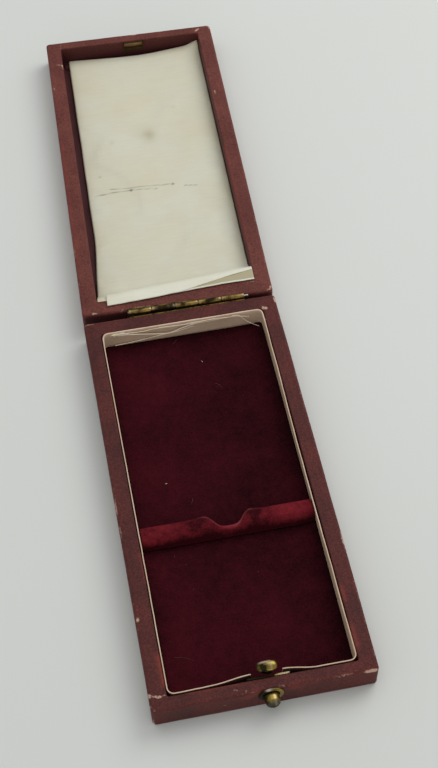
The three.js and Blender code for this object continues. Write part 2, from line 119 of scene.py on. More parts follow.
LID_SKEW = 2 * HALF_SKEW
TRAY = Half(
    "tray", (0, tray_high.y, RIM_LEVEL), 0, -1, TRAY_LENGTH,
    near=tray_high.y - liner_high.y - LAYER_GAP,
    far=liner_low.y - tray_low.y - LAYER_GAP,
    side=CASE_WIDTH / 2 - liner_high.x - LAYER_GAP,
    turn_in=3.2, floor_turn=0,
)
LID = Half(
    "lid",
    (HINGE_REACH * math.sin(LID_SKEW), tray_high.y + HINGE_REACH * (1 + math.cos(LID_SKEW)), RIM_LEVEL),
    LID_SKEW, 1, LID_LENGTH, near=5.2, far=3.4, side=4.65, turn_in=6.35, floor_turn=3.0,
)

LID_INNER = CASE_WIDTH / 2 - LID.side
LID_FAR_WALL = LID.length - LID.far

# ---------------------------------------------------------------- camera, floor and light

CAMERA = {"place": (-31.15, -190.87, 316.49), "aim": (6.01, 30.8, 8.0), "roll": -1.77, "lens": 65.6}


def set_camera():
    camera = bpy.data.objects.new("camera", bpy.data.cameras.new("camera"))
    bpy.context.scene.collection.objects.link(camera)
    camera.data.lens = CAMERA["lens"]
    camera.data.sensor_width = 36
    camera.data.clip_start = 0.01
    place, aim = Vector(CAMERA["place"]), Vector(CAMERA["aim"])
    level = (aim - place).to_track_quat("-Z", "Y").to_matrix().to_4x4()
    roll = Matrix.Rotation(math.radians(CAMERA["roll"]), 4, "Z")
    camera.matrix_world = Matrix.Translation(place * MM) @ level @ roll
    bpy.context.scene.camera = camera


def area_light(name, place, aim, size, power):
    lamp = bpy.data.lights.new(name, "AREA")
    lamp.shape = "DISK"
    lamp.size = size * MM
    lamp.energy = power
    light = bpy.data.objects.new(name, lamp)
    light.location = Vector(place) * MM
    light.rotation_euler = (Vector(aim) - Vector(place)).to_track_quat("-Z", "Y").to_euler()
    bpy.context.scene.collection.objects.link(light)


def linear(hex_colour):
    """An sRGB hex colour as linear RGBA."""
    channels = [int(hex_colour[i:i + 2], 16) / 255 for i in (1, 3, 5)]
    return [c / 12.92 if c <= 0.04045 else ((c + 0.055) / 1.055) ** 2.4 for c in channels] + [1.0]


def light_studio():
    world = bpy.data.worlds.new("studio")
    bpy.context.scene.world = world
    world.use_nodes = True
    sky = world.node_tree.nodes["Background"]
    sky.inputs["Color"].default_value = linear("#fbfcff")
    sky.inputs["Strength"].default_value = 0.51
    area_light("window", (430, 330, 560), (0, 40, 0), 560, 2.05)
    area_light("ceiling", (-40, 160, 820), (0, 40, 0), 700, 1.0)
    area_light("room", (-60, -700, 190), (0, 0, 0), 420, 0.5)


# ---------------------------------------------------------------- making meshes


def mesh_object(name, points, faces, materials, marks=None, material_of=None, smooth=True):
    """A closed object from points in millimetres. marks are named values at its points."""
    mesh = bpy.data.meshes.new(name)
    mesh.from_pydata([tuple(p * MM) for p in points], [], faces)
    for material in materials:
        mesh.materials.append(material)
    give_marks(mesh, marks or {})
    if material_of is not None:
        mesh.polygons.foreach_set("material_index", material_of)
    mesh.polygons.foreach_set("use_smooth", [smooth] * len(mesh.polygons))
    obj = bpy.data.objects.new(name, mesh)
    bpy.context.scene.collection.objects.link(obj)
    return obj


def give_marks(mesh, marks):
    for mark, values in marks.items():
        mesh.attributes.new(mark, "FLOAT", "POINT").data.foreach_set("value", values)


def face_outwards(obj):
    work = bmesh.new()
    work.from_mesh(obj.data)
    bmesh.ops.recalc_face_normals(work, faces=work.faces)
    work.to_mesh(obj.data)
    work.free()
    obj.data.update()
    return obj


def grid_faces(rows, columns, ring=False, tube=False):
    """The quads of a grid of points. ring joins the last row to the first, tube the last column."""
    faces = []
    for i in range(rows if ring else rows - 1):
        for j in range(columns if tube else columns - 1):
            a, b = i * columns, ((i + 1) % rows) * columns
            k = (j + 1) % columns
            faces.append((a + j, a + k, b + k, b + j))
    return faces


def end_faces(rows, columns):
    """The faces that close both ends of a tube of points."""
    last = (rows - 1) * columns
    return [tuple(range(columns)), tuple(range(last + columns - 1, last - 1, -1))]


def flat(rows):
    return [point for row in rows for point in row]


def skin(name, rows, materials, towards, thickness, marks=None, ring=False):
    """A sheet of some thickness whose shown side looks towards a direction."""
    faces = grid_faces(len(rows), len(rows[0]), ring=ring)
    obj = mesh_object(name, flat(rows), faces, materials, marks)
    total = sum((f.normal * f.area for f in obj.data.polygons), Vector())
    if total.dot(Vector(towards)) < 0:
        obj.data.flip_normals()
    solidify = obj.modifiers.new("thickness", "SOLIDIFY")
    solidify.thickness = thickness * MM
    solidify.offset = -1
    return apply_modifiers(obj)


def apply_modifiers(obj):
    evaluated = obj.evaluated_get(bpy.context.evaluated_depsgraph_get())
    mesh = bpy.data.meshes.new_from_object(evaluated)
    obj.modifiers.clear()
    obj.data = mesh
    return obj


def rod(name, rows, material=None, marks=None):
    """A closed tube through rings of points, its ends filled."""
    size = len(rows), len(rows[0])
    faces = grid_faces(*size, tube=True) + end_faces(*size)
    return face_outwards(mesh_object(name, flat(rows), faces, [material] if material else [], marks))


def joined(name, parts):
    """Several objects as one, keeping their materials."""
    work = bmesh.new()
    materials = []
    for part in parts:
        first = len(work.faces)
        work.from_mesh(part.data)
        work.faces.ensure_lookup_table()
        own = list(part.data.materials)
        for face in work.faces[first:]:
            material = own[face.material_index]
            if material not in materials:
                materials.append(material)
            face.material_index = materials.index(material)
    mesh = bpy.data.meshes.new(name)
    work.to_mesh(mesh)
    work.free()
    for material in materials:
        mesh.materials.append(material)
    for part in parts:
        bpy.data.objects.remove(part)
    obj = bpy.data.objects.new(name, mesh)
    bpy.context.scene.collection.objects.link(obj)
    return obj


def lerp(a, b, u):
    return a + (b - a) * u


def smooth_step(value, low, high):
    u = min(max((value - low) / (high - low), 0.0), 1.0)
    return u * u * (3 - 2 * u)


def hump(value, centre, width):
    return math.exp(-(((value - centre) / width) ** 2))


def waver(point, grain, seed=0.0):
    """Smooth random value from about -1 to 1, with features of `grain` millimetres."""
    return noise.noise(Vector(point) / grain + Vector((seed, 3.1 * seed, -seed)))


def steps(length, pitch):
    count = max(1, math.ceil(length / pitch))
    return [i / count for i in range(count)]


def near_segment(point, a, b):
    """Distance from a point to a straight mark between a and b."""
    a, b, p = Vector(a), Vector(b), Vector(point)
    along = b - a
    u = 0.0 if along.length < 1e-9 else min(max((p - a).dot(along) / along.length_squared, 0.0), 1.0)
    return (p - a - along * u).length


# ---------------------------------------------------------------- materials


# Which output a node hands on, where it isn't its first, and the sockets of a mix of two colours.
HANDED_ON = {"Mix": 2, "Attribute": 2, "TexWave": 1, "TexCoord": 3}
COLOUR_MIX_SOCKETS = (0, 6, 7)


def add_node(tree, kind, *values, to=None, **named):
    """One shader node with its settings and links. `values` fill its sockets in order and `named`
    ones are sockets or settings; either may be another node's output. Gives back the node's output,
    linked to the socket `to` if there is one."""
    made = tree.nodes.new("ShaderNode" + kind)
    order = range(len(values))
    if kind == "Mix":
        made.data_type = "RGBA"
        order = COLOUR_MIX_SOCKETS
    sockets = [(made.inputs[i], value) for i, value in zip(order, values)]
    for name, value in named.items():
        socket = made.inputs.get(name.replace("_", " "))
        if socket is None:
            setattr(made, name, value)
        else:
            sockets.append((socket, value))
    for socket, value in sockets:
        if isinstance(value, bpy.types.NodeSocket):
            tree.links.new(value, socket)
        else:
            socket.default_value = value
    output = made.outputs[HANDED_ON.get(kind, 0)]
    if to is not None:
        tree.links.new(output, to)
    return output


WAVE_LENGTH = math.tau / 20  # of a wave texture at scale 1


def per(millimetres):
    """The texture scale that gives features of this size."""
    return 1 / (millimetres * MM)


def start_material(name, **constants):
    """A new material: how to add a node to it, its shader's sockets and the object's own
    coordinates."""
    material = bpy.data.materials.new(name)
    material.use_nodes = True
    shader = material.node_tree.nodes["Principled BSDF"].inputs
    for socket, value in constants.items():
        shader[socket.replace("_", " ")].default_value = value
    add = partial(add_node, material.node_tree)
    return material, add, shader, add("TexCoord")


def leathercloth(name, dark, light, inside_tone_and_hinge_shade):
    """Leathercloth: cotton coated with maroon pyroxylin and embossed with a fine grain. The coating
    gives a low, broken sheen, fades in patches, rubs to a brighter red, and shows its pale cotton
    where it is worn through."""
    material, add, shader, place = start_material(name, IOR=1.5, Specular_IOR_Level=0.2)
    patches = add("TexNoise", Vector=place, Scale=per(11), Detail=5, Roughness=0.62)
    fading = add("Mix", add("MapRange", patches, 0.36, 0.66), linear(dark), linear(light))
    # grain cells of 0.62 mm, a little larger than life so that they show
    grain = add("TexVoronoi", Vector=place, Scale=per(0.62), feature="DISTANCE_TO_EDGE")
    crease = add("MapRange", grain, 0, 0.16, 0.6, 1.06)
    speck = add("TexNoise", Vector=place, Scale=per(0.8), Detail=6, Roughness=0.75)
    speckle = add("MapRange", speck, 0.3, 0.7, 0.66, 1.32)
    texture = add("Math", speckle, crease, operation="MULTIPLY")
    grained = add("Mix", 1, fading, texture, blend_type="MULTIPLY")
    # The inner walls take a darker tone; the faces beside the hinge take the same colour as painted shade.
    inside = add("Attribute", attribute_name="inside_tone_and_hinge_shade")
    kept = add("Mix", inside, grained, linear(inside_tone_and_hinge_shade))
    rub = add("Math", add("Attribute", attribute_name="rubbed"), speckle, operation="MULTIPLY")
    rubbed = add("Mix", rub, kept, linear("#84382f"))
    # wear shows where its strength passes a fine random level, so its edge is ragged
    fray = add("TexNoise", Vector=place, Scale=per(0.5), Detail=4, Roughness=0.7)
    level = add("Math", add("Attribute", attribute_name="wear"), fray, operation="ADD")
    bare_and_highlight = add("MapRange", level, 0.84, 1.1)
    add("Mix", bare_and_highlight, rubbed, linear("#c2a08a"), to=shader["Base Color"])
    add("MapRange", patches, 0.3, 0.7, 0.5, 0.68, to=shader["Roughness"])
    height = add("Math", crease, speck, operation="ADD")
    add("Bump", Height=height, Strength=0.6, Distance=0.1 * MM, to=shader["Normal"])
    return material


def cotton_velvet(name, deep, nap_and_painted_light):
    """Cotton velvet: short cut pile, dyed. The pile looks nearly black straight on and glows a dull
    red where it leans, by a painted mask that also carries painted shade and painted sheen, with a
    pale painted haze where the pile catches the light; its rows are too fine to show, so they are
    drawn 0.5 mm apart."""
    material, add, shader, place = start_material(
        name, IOR=1.4, Specular_IOR_Level=0.08, Roughness=1, Sheen_Weight=0.55, Sheen_Roughness=0.45,
        Sheen_Tint=linear(nap_and_painted_light))
    stroked = add("TexNoise", Vector=place, Scale=per(13), Detail=4, Roughness=0.6, Distortion=0.6)
    mottle = add("TexNoise", Vector=place, Scale=per(2.2), Detail=6, Roughness=0.8)
    pile = add("TexNoise", Vector=place, Scale=per(0.5), Detail=2, Roughness=0.6)
    mixed = add("Math", stroked, 0.7, mottle, operation="MULTIPLY_ADD")
    fine = add("Math", pile, 0.9, mixed, operation="MULTIPLY_ADD")
    # The mask lifts the pile towards the bright colour; it holds real lean together with painted shade and
    # painted sheen.
    lean_and_light = add("Math", add("Attribute", attribute_name="nap_and_painted_light"), fine, operation="ADD")
    colour = add("Mix", add("MapRange", lean_and_light, 0.95, 1.95), linear(deep), linear(nap_and_painted_light))
    # A pale painted haze where the pile catches the light.
    sheen_haze = add("Attribute", attribute_name="sheen_haze")
    add("Mix", sheen_haze, colour, linear("#7d4a4e"), to=shader["Base Color"])
    add("Bump", Height=fine, Strength=0.5, Distance=0.25 * MM, to=shader["Normal"])
    return material


def rayon_satin(name, body, aged):
    """Cream satin, woven with long floats across the case. The floats give a soft broad gloss and a
    faint ribbing; age has yellowed it in patches and left a brown spot and a pulled thread."""
    material, add, shader, place = start_material(
        name, IOR=1.45, Specular_IOR_Level=0.35, Roughness=0.5, Sheen_Weight=0.12, Sheen_Roughness=0.4)
    age = add("TexNoise", Vector=place, Scale=per(24), Detail=4, Roughness=0.55)
    ageing = add("Mix", add("MapRange", age, 0.38, 0.74), linear(body), linear(aged))
    # weft ribs 0.42 mm apart, drawn coarser than the real threads so that they show
    rib = add("TexWave", Vector=place, Scale=per(0.42) * WAVE_LENGTH, Distortion=1.2, Detail=2,
              Detail_Scale=1.5, bands_direction="Y", wave_profile="SIN")
    across = add("Mapping", Vector=place, Scale=(0.12, 1, 1))
    slub = add("TexNoise", Vector=across, Scale=per(0.7), Detail=3, Roughness=0.6)
    ribbing = add("MapRange", rib, 0, 1, 0.975, 1.015)
    slubs = add("MapRange", slub, 0.3, 0.7, 0.975, 1.02)
    texture = add("Math", ribbing, slubs, operation="MULTIPLY")
    woven = add("Mix", 1, ageing, texture, blend_type="MULTIPLY")
    # A brown tint: the real stains, painted shade along the pad's edges, and the darker lower layer of the
    # fold.
    tinted = add("Mix", add("Attribute", attribute_name="brown_tint"), woven, linear("#978958"))
    pulled = add("Attribute", attribute_name="pulled")
    add("Mix", pulled, tinted, linear("#55584a"), to=shader["Base Color"])
    height = add("Math", rib, slub, operation="ADD")
    add("Bump", Height=height, Strength=0.3, Distance=0.06 * MM, to=shader["Normal"])
    return material


def aged_card(name, clean, toned, fleck):
    """Cream-faced card, rolled and guillotined. The face is dull with short fibres, toned unevenly
    by age; a cut edge is paler and rougher."""
    material, add, shader, place = start_material(
        name, IOR=1.45, Specular_IOR_Level=0.2, Roughness=0.85)
    tone = add("TexNoise", Vector=place, Scale=per(7), Detail=5, Roughness=0.65)
    toning = add("Mix", add("MapRange", tone, 0.32, 0.7), linear(clean), linear(toned))
    fibre = add("TexNoise", Vector=place, Scale=per(0.5), Detail=4, Roughness=0.8)
    flecks = add("MapRange", fibre, 0.56, 0.74, 0, 0.5)
    add("Mix", flecks, toning, linear(fleck), to=shader["Base Color"])
    add("Bump", Height=fibre, Strength=0.4, Distance=0.08 * MM, to=shader["Normal"])
    return material


def tarnished_brass(name, bright, patina, cover, polish):
    """Rolled and turned brass, long handled: golden where it is touched, brown-green tarnish in
    the hollows, with a broken, mid-gloss reflection."""
    material, add, shader, place = start_material(name, Metallic=1)
    tarnish = add("TexNoise", Vector=place, Scale=per(2.6), Detail=6, Roughness=0.68)
    pit = add("TexNoise", Vector=place, Scale=per(0.35), Detail=3, Roughness=0.7)
    spread = add("Math", pit, 0.35, tarnish, operation="MULTIPLY_ADD")
    total = add("Math", spread, add("Attribute", attribute_name="dark"), operation="ADD")
    share = add("MapRange", total, 1.02 - 0.5 * cover, 1.34 - 0.5 * cover)
    colour = add("Mix", share, linear(bright), linear(patina))
    # A pale colour mixed in on top, given per point: painted highlights on the clasp and the hinge
    # knuckles.
    bare_and_highlight = add("Attribute", attribute_name="bare_and_highlight")
    add("Mix", bare_and_highlight, colour, linear("#d8c8b4"), to=shader["Base Color"])
    add("MapRange", share, 0, 1, polish, 0.62, to=shader["Roughness"])
    add("Bump", Height=spread, Strength=0.25, Distance=0.1 * MM, to=shader["Normal"])
    return material


def planed_pine(name):
    """Planed pine: pale, with darker grain lines along each rail."""
    material, add, shader, place = start_material(name, IOR=1.5, Specular_IOR_Level=0.3, Roughness=0.65)
    along = add("Mapping", Vector=place, Scale=(1, 0.06, 1))
    rings = add("TexNoise", Vector=along, Scale=per(1.4), Detail=4, Roughness=0.6, Distortion=0.4)
    add("Mix", rings, linear("#caa877"), linear("#96703f"), to=shader["Base Color"])
    add("Bump", Height=rings, Strength=0.3, Distance=0.1 * MM, to=shader["Normal"])
    return material


def cotton_wadding(name):
    """Carded cotton wadding: white and matt, with soft lumps."""
    material, add, shader, place = start_material(
        name, IOR=1.4, Specular_IOR_Level=0.1, Roughness=1, Sheen_Weight=0.3)
    lumps = add("TexNoise", Vector=place, Scale=per(3), Detail=6, Roughness=0.7)
    add("Mix", lumps, linear("#efe9db"), linear("#cfc6b2"), to=shader["Base Color"])
    add("Bump", Height=lumps, Strength=0.8, Distance=0.4 * MM, to=shader["Normal"])
    return material


def drawn_steel(name):
    """Drawn steel wire, a little dulled: grey with fine marks round it."""
    material, add, shader, place = start_material(name, Metallic=1)
    marks = add("TexNoise", Vector=place, Scale=per(0.25), Detail=3, Roughness=0.6)
    add("Mix", marks, linear("#b9b6ac"), linear("#7b776c"), to=shader["Base Color"])
    add("MapRange", marks, 0.3, 0.7, 0.25, 0.45, to=shader["Roughness"])
    return material


def table_top(name):
    """A sheet of off-white laminate, matt enough to blur every reflection."""
    material, add, shader, place = start_material(name, IOR=1.45, Specular_IOR_Level=0.25, Roughness=0.6)
    cloud = add("TexNoise", Vector=place, Scale=per(160), Detail=2, Roughness=0.5)
    add("Mix", cloud, linear("#dfe1dc"), linear("#d9dbd5"), to=shader["Base Color"])
    return material


# The last colour of each is the darker tone of the inner walls, also used as painted shade beside the
# hinge.
maroon_leathercloth = leathercloth("maroon_leathercloth_embossed", "#4a201d", "#622e29", "#33141a")
# A paler copy of the same leathercloth, for the lid.
paler_leathercloth = leathercloth("paler_maroon_leathercloth_embossed", "#65312a", "#7a4239", "#42191b")
base_leathercloth = leathercloth("dark_leathercloth_panel", "#331a1c", "#45282a", "#331a1c")
bed_velvet = cotton_velvet("maroon_cotton_velvet_cut_pile", "#1f060a", "#4a131c")
ridge_cloth = cotton_velvet("red_cotton_velvet_cut_pile", "#320a10", "#7a222a")
cream_satin = rayon_satin("cream_satin_woven", "#dad8c4", "#d6d0b4")
satin_trim = rayon_satin("cream_satin_folded", "#e6e5d2", "#dcd9c2")
sewing_cotton = aged_card("cream_cotton_thread_twisted", "#f2e4cb", "#e4d0b0", "#cfb894")
dull_lint = aged_card("wool_lint_dull", "#7a5553", "#6a4646", "#8c6a66")
card_face = aged_card("cream_card_rolled", "#d0b69c", "#bfa489", "#9c846a")
card_edge = aged_card("cream_card_guillotined_edge", "#e2ccb4", "#cfb494", "#a98a68")
# For the liner's outer face toward the rim: a dark card colour that paints the shade in the gap behind it.
card_back = aged_card("card_back_painted_shade", "#4a3226", "#3a241d", "#5c4434")
strawboard = aged_card("strawboard_pressed", "#a08a68", "#8a7554", "#6f5c40")
old_brass = tarnished_brass("tarnished_brass_turned", "#96813f", "#2f2a1c", cover=0.62, polish=0.34)
hinge_brass = tarnished_brass("tarnished_brass_rolled", "#937a43", "#31271a", cover=0.68, polish=0.36)
# A much darker brass, for the striker plate and its tacks.
dark_brass = tarnished_brass("brass_plate_darkened", "#4a3d24", "#241a14", cover=0.85, polish=0.5)
pine = planed_pine("pine_planed")
wadding = cotton_wadding("cotton_wadding_carded")
steel_wire = drawn_steel("steel_wire_drawn")

# ---------------------------------------------------------------- leathercloth coverings

RIM_EDGE = {"outer": 0.75, "inner": 0.45}
CORNER = {"outer": 1.0, "inner": 0.45}
LOOP_PITCH = 0.55


def corner_samples(corner, d1, d2, w1, w2):
    """Matched outer and inner points round one corner: d1 runs into it and d2 out of it, with rims
    of width w1 and w2."""
    r, ri = CORNER["outer"], CORNER["inner"]
    inner_corner = corner + d2 * w1 - d1 * w2
    inner_centre = inner_corner - d1 * ri + d2 * ri
    samples = []

    def add(outer, outer_inwards, turn, mitre):
        angle = turn * math.pi / 2
        outwards = -d2 * math.cos(angle) + d1 * math.sin(angle)
        samples.append((outer, outer_inwards, inner_centre + outwards * ri, outwards, mitre))

    lead, tail = w2 + ri - r, w1 + ri - r
    run = 8
    for i in range(run):
        u = i / run
        add(corner - d1 * (r + lead * (1 - u)), d2, 0.35 * u, 0.4 * u)
    centre = corner - d1 * r + d2 * r
    for i in range(run):
        u = i / run
        angle = u * math.pi / 2
        outwards = -d2 * math.cos(angle) + d1 * math.sin(angle)
        add(centre + outwards * r, -outwards, 0.35 + 0.3 * u, 1 - abs(2 * u - 1) * 0.6)
    for i in range(run):
        u = i / run
        add(corner + d2 * (r + tail * u), -d1, 0.65 + 0.35 * u, 0.4 * (1 - u))
    return samples


def rim_loop(half):
    """Matched outer and inner points all the way round a half's rim, in x and t."""
    x, r = CASE_WIDTH / 2, CORNER["inner"]
    corners = [Vector((x, 0)), Vector((x, half.length)), Vector((-x, half.length)), Vector((-x, 0))]
    directions = [Vector((0, 1)), Vector((-1, 0)), Vector((0, -1)), Vector((1, 0))]
    widths = [half.side, half.far, half.side, half.near]
    loop = []
    for i in range(4):
        d = directions[i]
        inwards = directions[(i + 1) % 4]
        before, after = widths[i - 1], widths[(i + 1) % 4]
        start = corners[i] + d * (before + r)
        end = corners[(i + 1) % 4] - d * (after + r)
        for u in steps((end - start).length, LOOP_PITCH):
            outer = start.lerp(end, u)
            loop.append((outer, inwards, outer + inwards * widths[i], -inwards, 0.0))
        loop += corner_samples(corners[(i + 1) % 4], d, inwards, widths[i], after)
    return loop


def rim_section(sample, half):
    """One line of the covering, from under the base, up the outside, over the rim and down inside.
    Each entry is x, t, h, then how close it is to the outer edge and how far down inside it lies."""
    outer, from_outer, inner, from_inner, mitre = sample
    ro, ri = RIM_EDGE["outer"], RIM_EDGE["inner"]
    base = -RIM_LEVEL
    line = []

    def add(spot, h, edge, inside):
        line.append((spot.x, spot.y, h, edge, inside))

    add(outer + from_outer * 0.37, base + 0.02, 0.4, 0.0)
    add(outer + from_outer * 0.12, base + 0.08, 0.8, 0.0)
    rise = RIM_LEVEL - 0.35 - ro
    for i in range(12):
        u = i / 11
        add(outer, base + 0.35 + rise * u, max(0.0, 1 - u * 9) * 0.8 + max(0.0, u * 9 - 8) * 0.6, 0.0)
    for i in range(1, 6):
        angle = i / 5 * math.pi / 2
        add(outer + from_outer * ro * (1 - math.cos(angle)), -ro * (1 - math.sin(angle)),
            math.sin(2 * angle) ** 0.5 if i < 5 else 0.3, 0.0)
    first, last = outer + from_outer * ro, inner + from_inner * ri
    for i in range(1, 8):
        u = i / 8
        crown = -0.1 * (1 - math.sin(math.pi * u))
        add(first.lerp(last, u), crown - 0.07 * hump(mitre, 1, 0.25), 0.0, 0.0)
    for i in range(6):
        angle = i / 5 * math.pi / 2
        add(inner + from_inner * ri * (1 - math.sin(angle)), -ri * (1 - math.cos(angle)), 0.0, 0.55 * i / 5)
    for i in range(1, 6):
        u = i / 5
        add(inner, lerp(-ri, -half.turn_in, u), 0.0, min(1.0, 0.55 + 0.6 * u))
    if half.floor_turn:
        add(inner - from_inner * 0.15, -half.turn_in - 0.2, 0.0, 1.0)
        for u in (0.3, 1.0):
            add(inner - from_inner * half.floor_turn * u, -half.turn_in - 0.27, 0.0, 1.0)
    return line


# Places where the coating is worn through or rubbed: from x, t, h, to x, t, h, then radius, strength.
WORN = {
    "tray": [
        (-27.3, 113.9, -0.3, -25.2, 114.6, 0, 0.55, 0.55), (-24.6, 114.6, 0, -22.9, 114.3, 0, 0.4, 0.4),
        (-27.2, 117.6, -7.6, -27.1, 117.5, -4.8, 0.5, 0.55),
        (-27.4, 116.5, -0.5, -26.6, 117.6, -0.4, 0.5, 0.4),
        (-26.7, 93.7, -0.1, -26.7, 93.9, -0.1, 0.55, 0.6), (-10, 118, -4, -9.9, 118, -4.1, 0.5, 0.55),
        (-7.3, 116.4, 0, -6.9, 116.6, 0, 0.45, 0.45), (-4.8, 117.2, 0, -4.6, 117.1, 0, 0.4, 0.45),
        (3, 117.4, -0.2, 4.2, 117.5, -0.3, 0.5, 0.3), (24.4, 118, -0.5, 26.7, 118, -0.5, 0.45, 0.6),
        (23.5, 4.4, 0, 24.1, 4.7, 0, 0.75, 0.72), (27, 1.4, -0.2, 27.2, 2.6, -0.3, 0.42, 0.45),
        (-26.7, 0.5, -0.2, -24.9, 0.4, -0.3, 0.5, 0.42), (23.2, 8.2, -0.2, 23.3, 9, -0.2, 0.35, 0.4),
        (-27.3, 60, -0.5, -27.3, 63, -0.4, 0.4, 0.35), (27.2, 80, -0.4, 27.2, 86, -0.4, 0.4, 0.33),
    ],
    "lid": [
        (-25, 106.9, 0, -22.7, 106.3, 0, 0.35, 0.55), (-23.2, 105.9, 0, -22.9, 104.4, -0.3, 0.4, 0.5),
        (22.5, 115.4, 0, 23.4, 116.1, 0, 0.55, 0.6), (26.8, 117.2, -0.2, 27.2, 116.2, -0.3, 0.55, 0.45),
        (1.4, 117.3, -0.2, 2.4, 117.3, -0.2, 0.6, 0.6), (-1, 117.5, -0.3, 6, 117.5, -0.3, 0.4, 0.32),
        (23.9, 90.4, 0, 23.9, 94.2, 0, 0.35, 0.4), (24.2, 84.2, 0, 24.2, 85.6, 0, 0.45, 0.55),
        (-26.5, 95, 0, -26.6, 95.6, 0, 0.4, 0.5), (26.3, 0.7, 0, 27, 1.6, -0.2, 0.42, 0.5),
        (20, 3.6, 0, 22.6, 4.4, 0, 0.45, 0.38), (-24.6, 0.4, -0.1, -23.2, 0.3, -0.2, 0.38, 0.42),
        (-22.8, 114.5, 0, -22.7, 116.6, 0, 0.3, 0.42), (-12, 0.4, -0.2, -8, 0.4, -0.2, 0.4, 0.3),
    ],
}
RUBBED = {
    "tray": [
        (-23.2, 104.5, 0, -22.9, 111.4, 0, 0.9, 0.95), (-23, 76, 0, -22.9, 84, 0, 0.7, 0.6),
        (23.7, 95, 0, 23.7, 98.5, 0, 0.7, 0.55), (23.6, 106, 0, 23.6, 111, 0, 0.8, 0.6),
        (-2.6, 117.9, -1, -4.6, 117.9, -2.2, 1.4, 0.45), (6.2, 117.9, -1, 7.6, 117.9, -1.6, 1.2, 0.35),
        (-22.9, 20, 0, -22.9, 40, 0, 0.5, 0.4), (-18, 114.9, 0, -6, 114.9, 0, 0.5, 0.35),
    ],
    "lid": [
        (-26.9, 20, -0.5, -26.9, 70, -0.5, 0.7, 0.35), (22.9, 20, -0.2, 22.9, 60, -0.2, 0.6, 0.35),
        (-14, 4.9, -0.2, 14, 4.9, -0.2, 0.6, 0.3),
    ],
}


def marks_at(places, spot):
    total = 0.0
    for *ends, radius, strength in places:
        a, b = ends[:3], ends[3:]
        if abs(spot[1] - (a[1] + b[1]) / 2) < abs(b[1] - a[1]) / 2 + 3 * radius:
            total += strength * hump(near_segment(spot, a, b), 0, radius)
    return min(total, 1.0)


# What is cut out of the coverings: the hinge's recess, the button's hole and the striker's slot.
RECESS = {"half_length": 17.0, "t": (-0.75, 0.75), "h": (-5.55, -0.25)}
HOLE = {"radius": 1.92, "from": -1.0, "to": 1.5}
SLOT = {"half_length": 3.0, "before": 0.5, "beyond": 0.6, "h": (-2.5, -0.6)}


def cut_away(covering, cutter):
    """Takes the shape of `cutter` out of a covering."""
    cut = covering.modifiers.new("opening", "BOOLEAN")
    cut.operation = "DIFFERENCE"
    cut.object = cutter
    cut.solver = "EXACT"
    apply_modifiers(covering)
    bpy.data.objects.remove(cutter)


def drill(piece, start, end, radius, sides):
    """A round hole into a piece at the clasp, from `start` to `end` behind the tray's front."""
    profile = [(start, 0.01), (start, radius), (end, radius), (end, 0.01)]
    cut_away(piece, lathe("drill", CLASP_FRONT, INTO, profile, None, sides=sides))


def leathercloth_covering(name, node, half, material):
    """The leathercloth of one half: a closed ring that is cut away where the hinge is let in."""
    rows, marks = [], {"wear": [], "rubbed": [], "inside_tone_and_hinge_shade": []}
    for sample in rim_loop(half):
        row = []
        for x, t, h, edge, inside in rim_section(sample, half):
            spot = x, t, h
            place = half.at(x, t, h)
            depth = -h
            lift = 0.05 * waver(place, 9, 1.0) + 0.03 * waver(place, 2.2, 5.0)
            push = 0.07 * waver(place, 14, 8.0) * (1 - inside)
            if h > -1:
                h = min(h + lift * (1 - inside), 0.06)
            row.append(half.at(x + sample[1].x * push, t + sample[1].y * push, h))
            scuff = edge * (0.26 + 0.2 * waver(place, 3.5, 2.0) + 0.12 * waver(place, 17, 6.0))
            marks["wear"].append(max(0.0, scuff) + marks_at(WORN[half.body], spot))
            marks["rubbed"].append(marks_at(RUBBED[half.body], spot) + 0.08 * edge)
            # Painted shade on the faces that look into the gap at the hinge; the inner walls get the darker
            # inside tone.
            hinge_gap_shade = smooth_step(-t, -0.6, 0.2) * smooth_step(depth, 0.5, 1.6)
            marks["inside_tone_and_hinge_shade"].append(max(inside, hinge_gap_shade))
        rows.append(row)
    covering = skin(name, rows, [material], (0, 0, 1), CLOTH, marks, ring=True)
    hinge_x = (HINGE_MIDDLE - RECESS["half_length"], HINGE_MIDDLE + RECESS["half_length"])
    cut_away(covering, block("recess", half, hinge_x, RECESS["t"], RECESS["h"]))
    if half is TRAY:
        drill(covering, HOLE["from"], HOLE["to"], HOLE["radius"], 48)
    else:
        slot_x = (CLASP_X - SLOT["half_length"], CLASP_X + SLOT["half_length"])
        slot_t = (LID_FAR_WALL - SLOT["before"], LID_FAR_WALL + SLOT["beyond"])
        cut_away(covering, block("slot", LID, slot_x, slot_t, SLOT["h"]))
    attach(covering, half.body)
    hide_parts(node)
    return covering


def block(name, half, x, t, h, materials=()):
    """A plain block between two values of x, t and h."""
    corners = [half.at(px, pt, ph) for px in x for pt in t for ph in h]
    faces = [(0, 1, 3, 2), (4, 6, 7, 5), (0, 4, 5, 1), (2, 3, 7, 6), (0, 2, 6, 4), (1, 5, 7, 3)]
    return face_outwards(mesh_object(name, corners, faces, materials, smooth=False))


# ---------------------------------------------------------------- tray lining


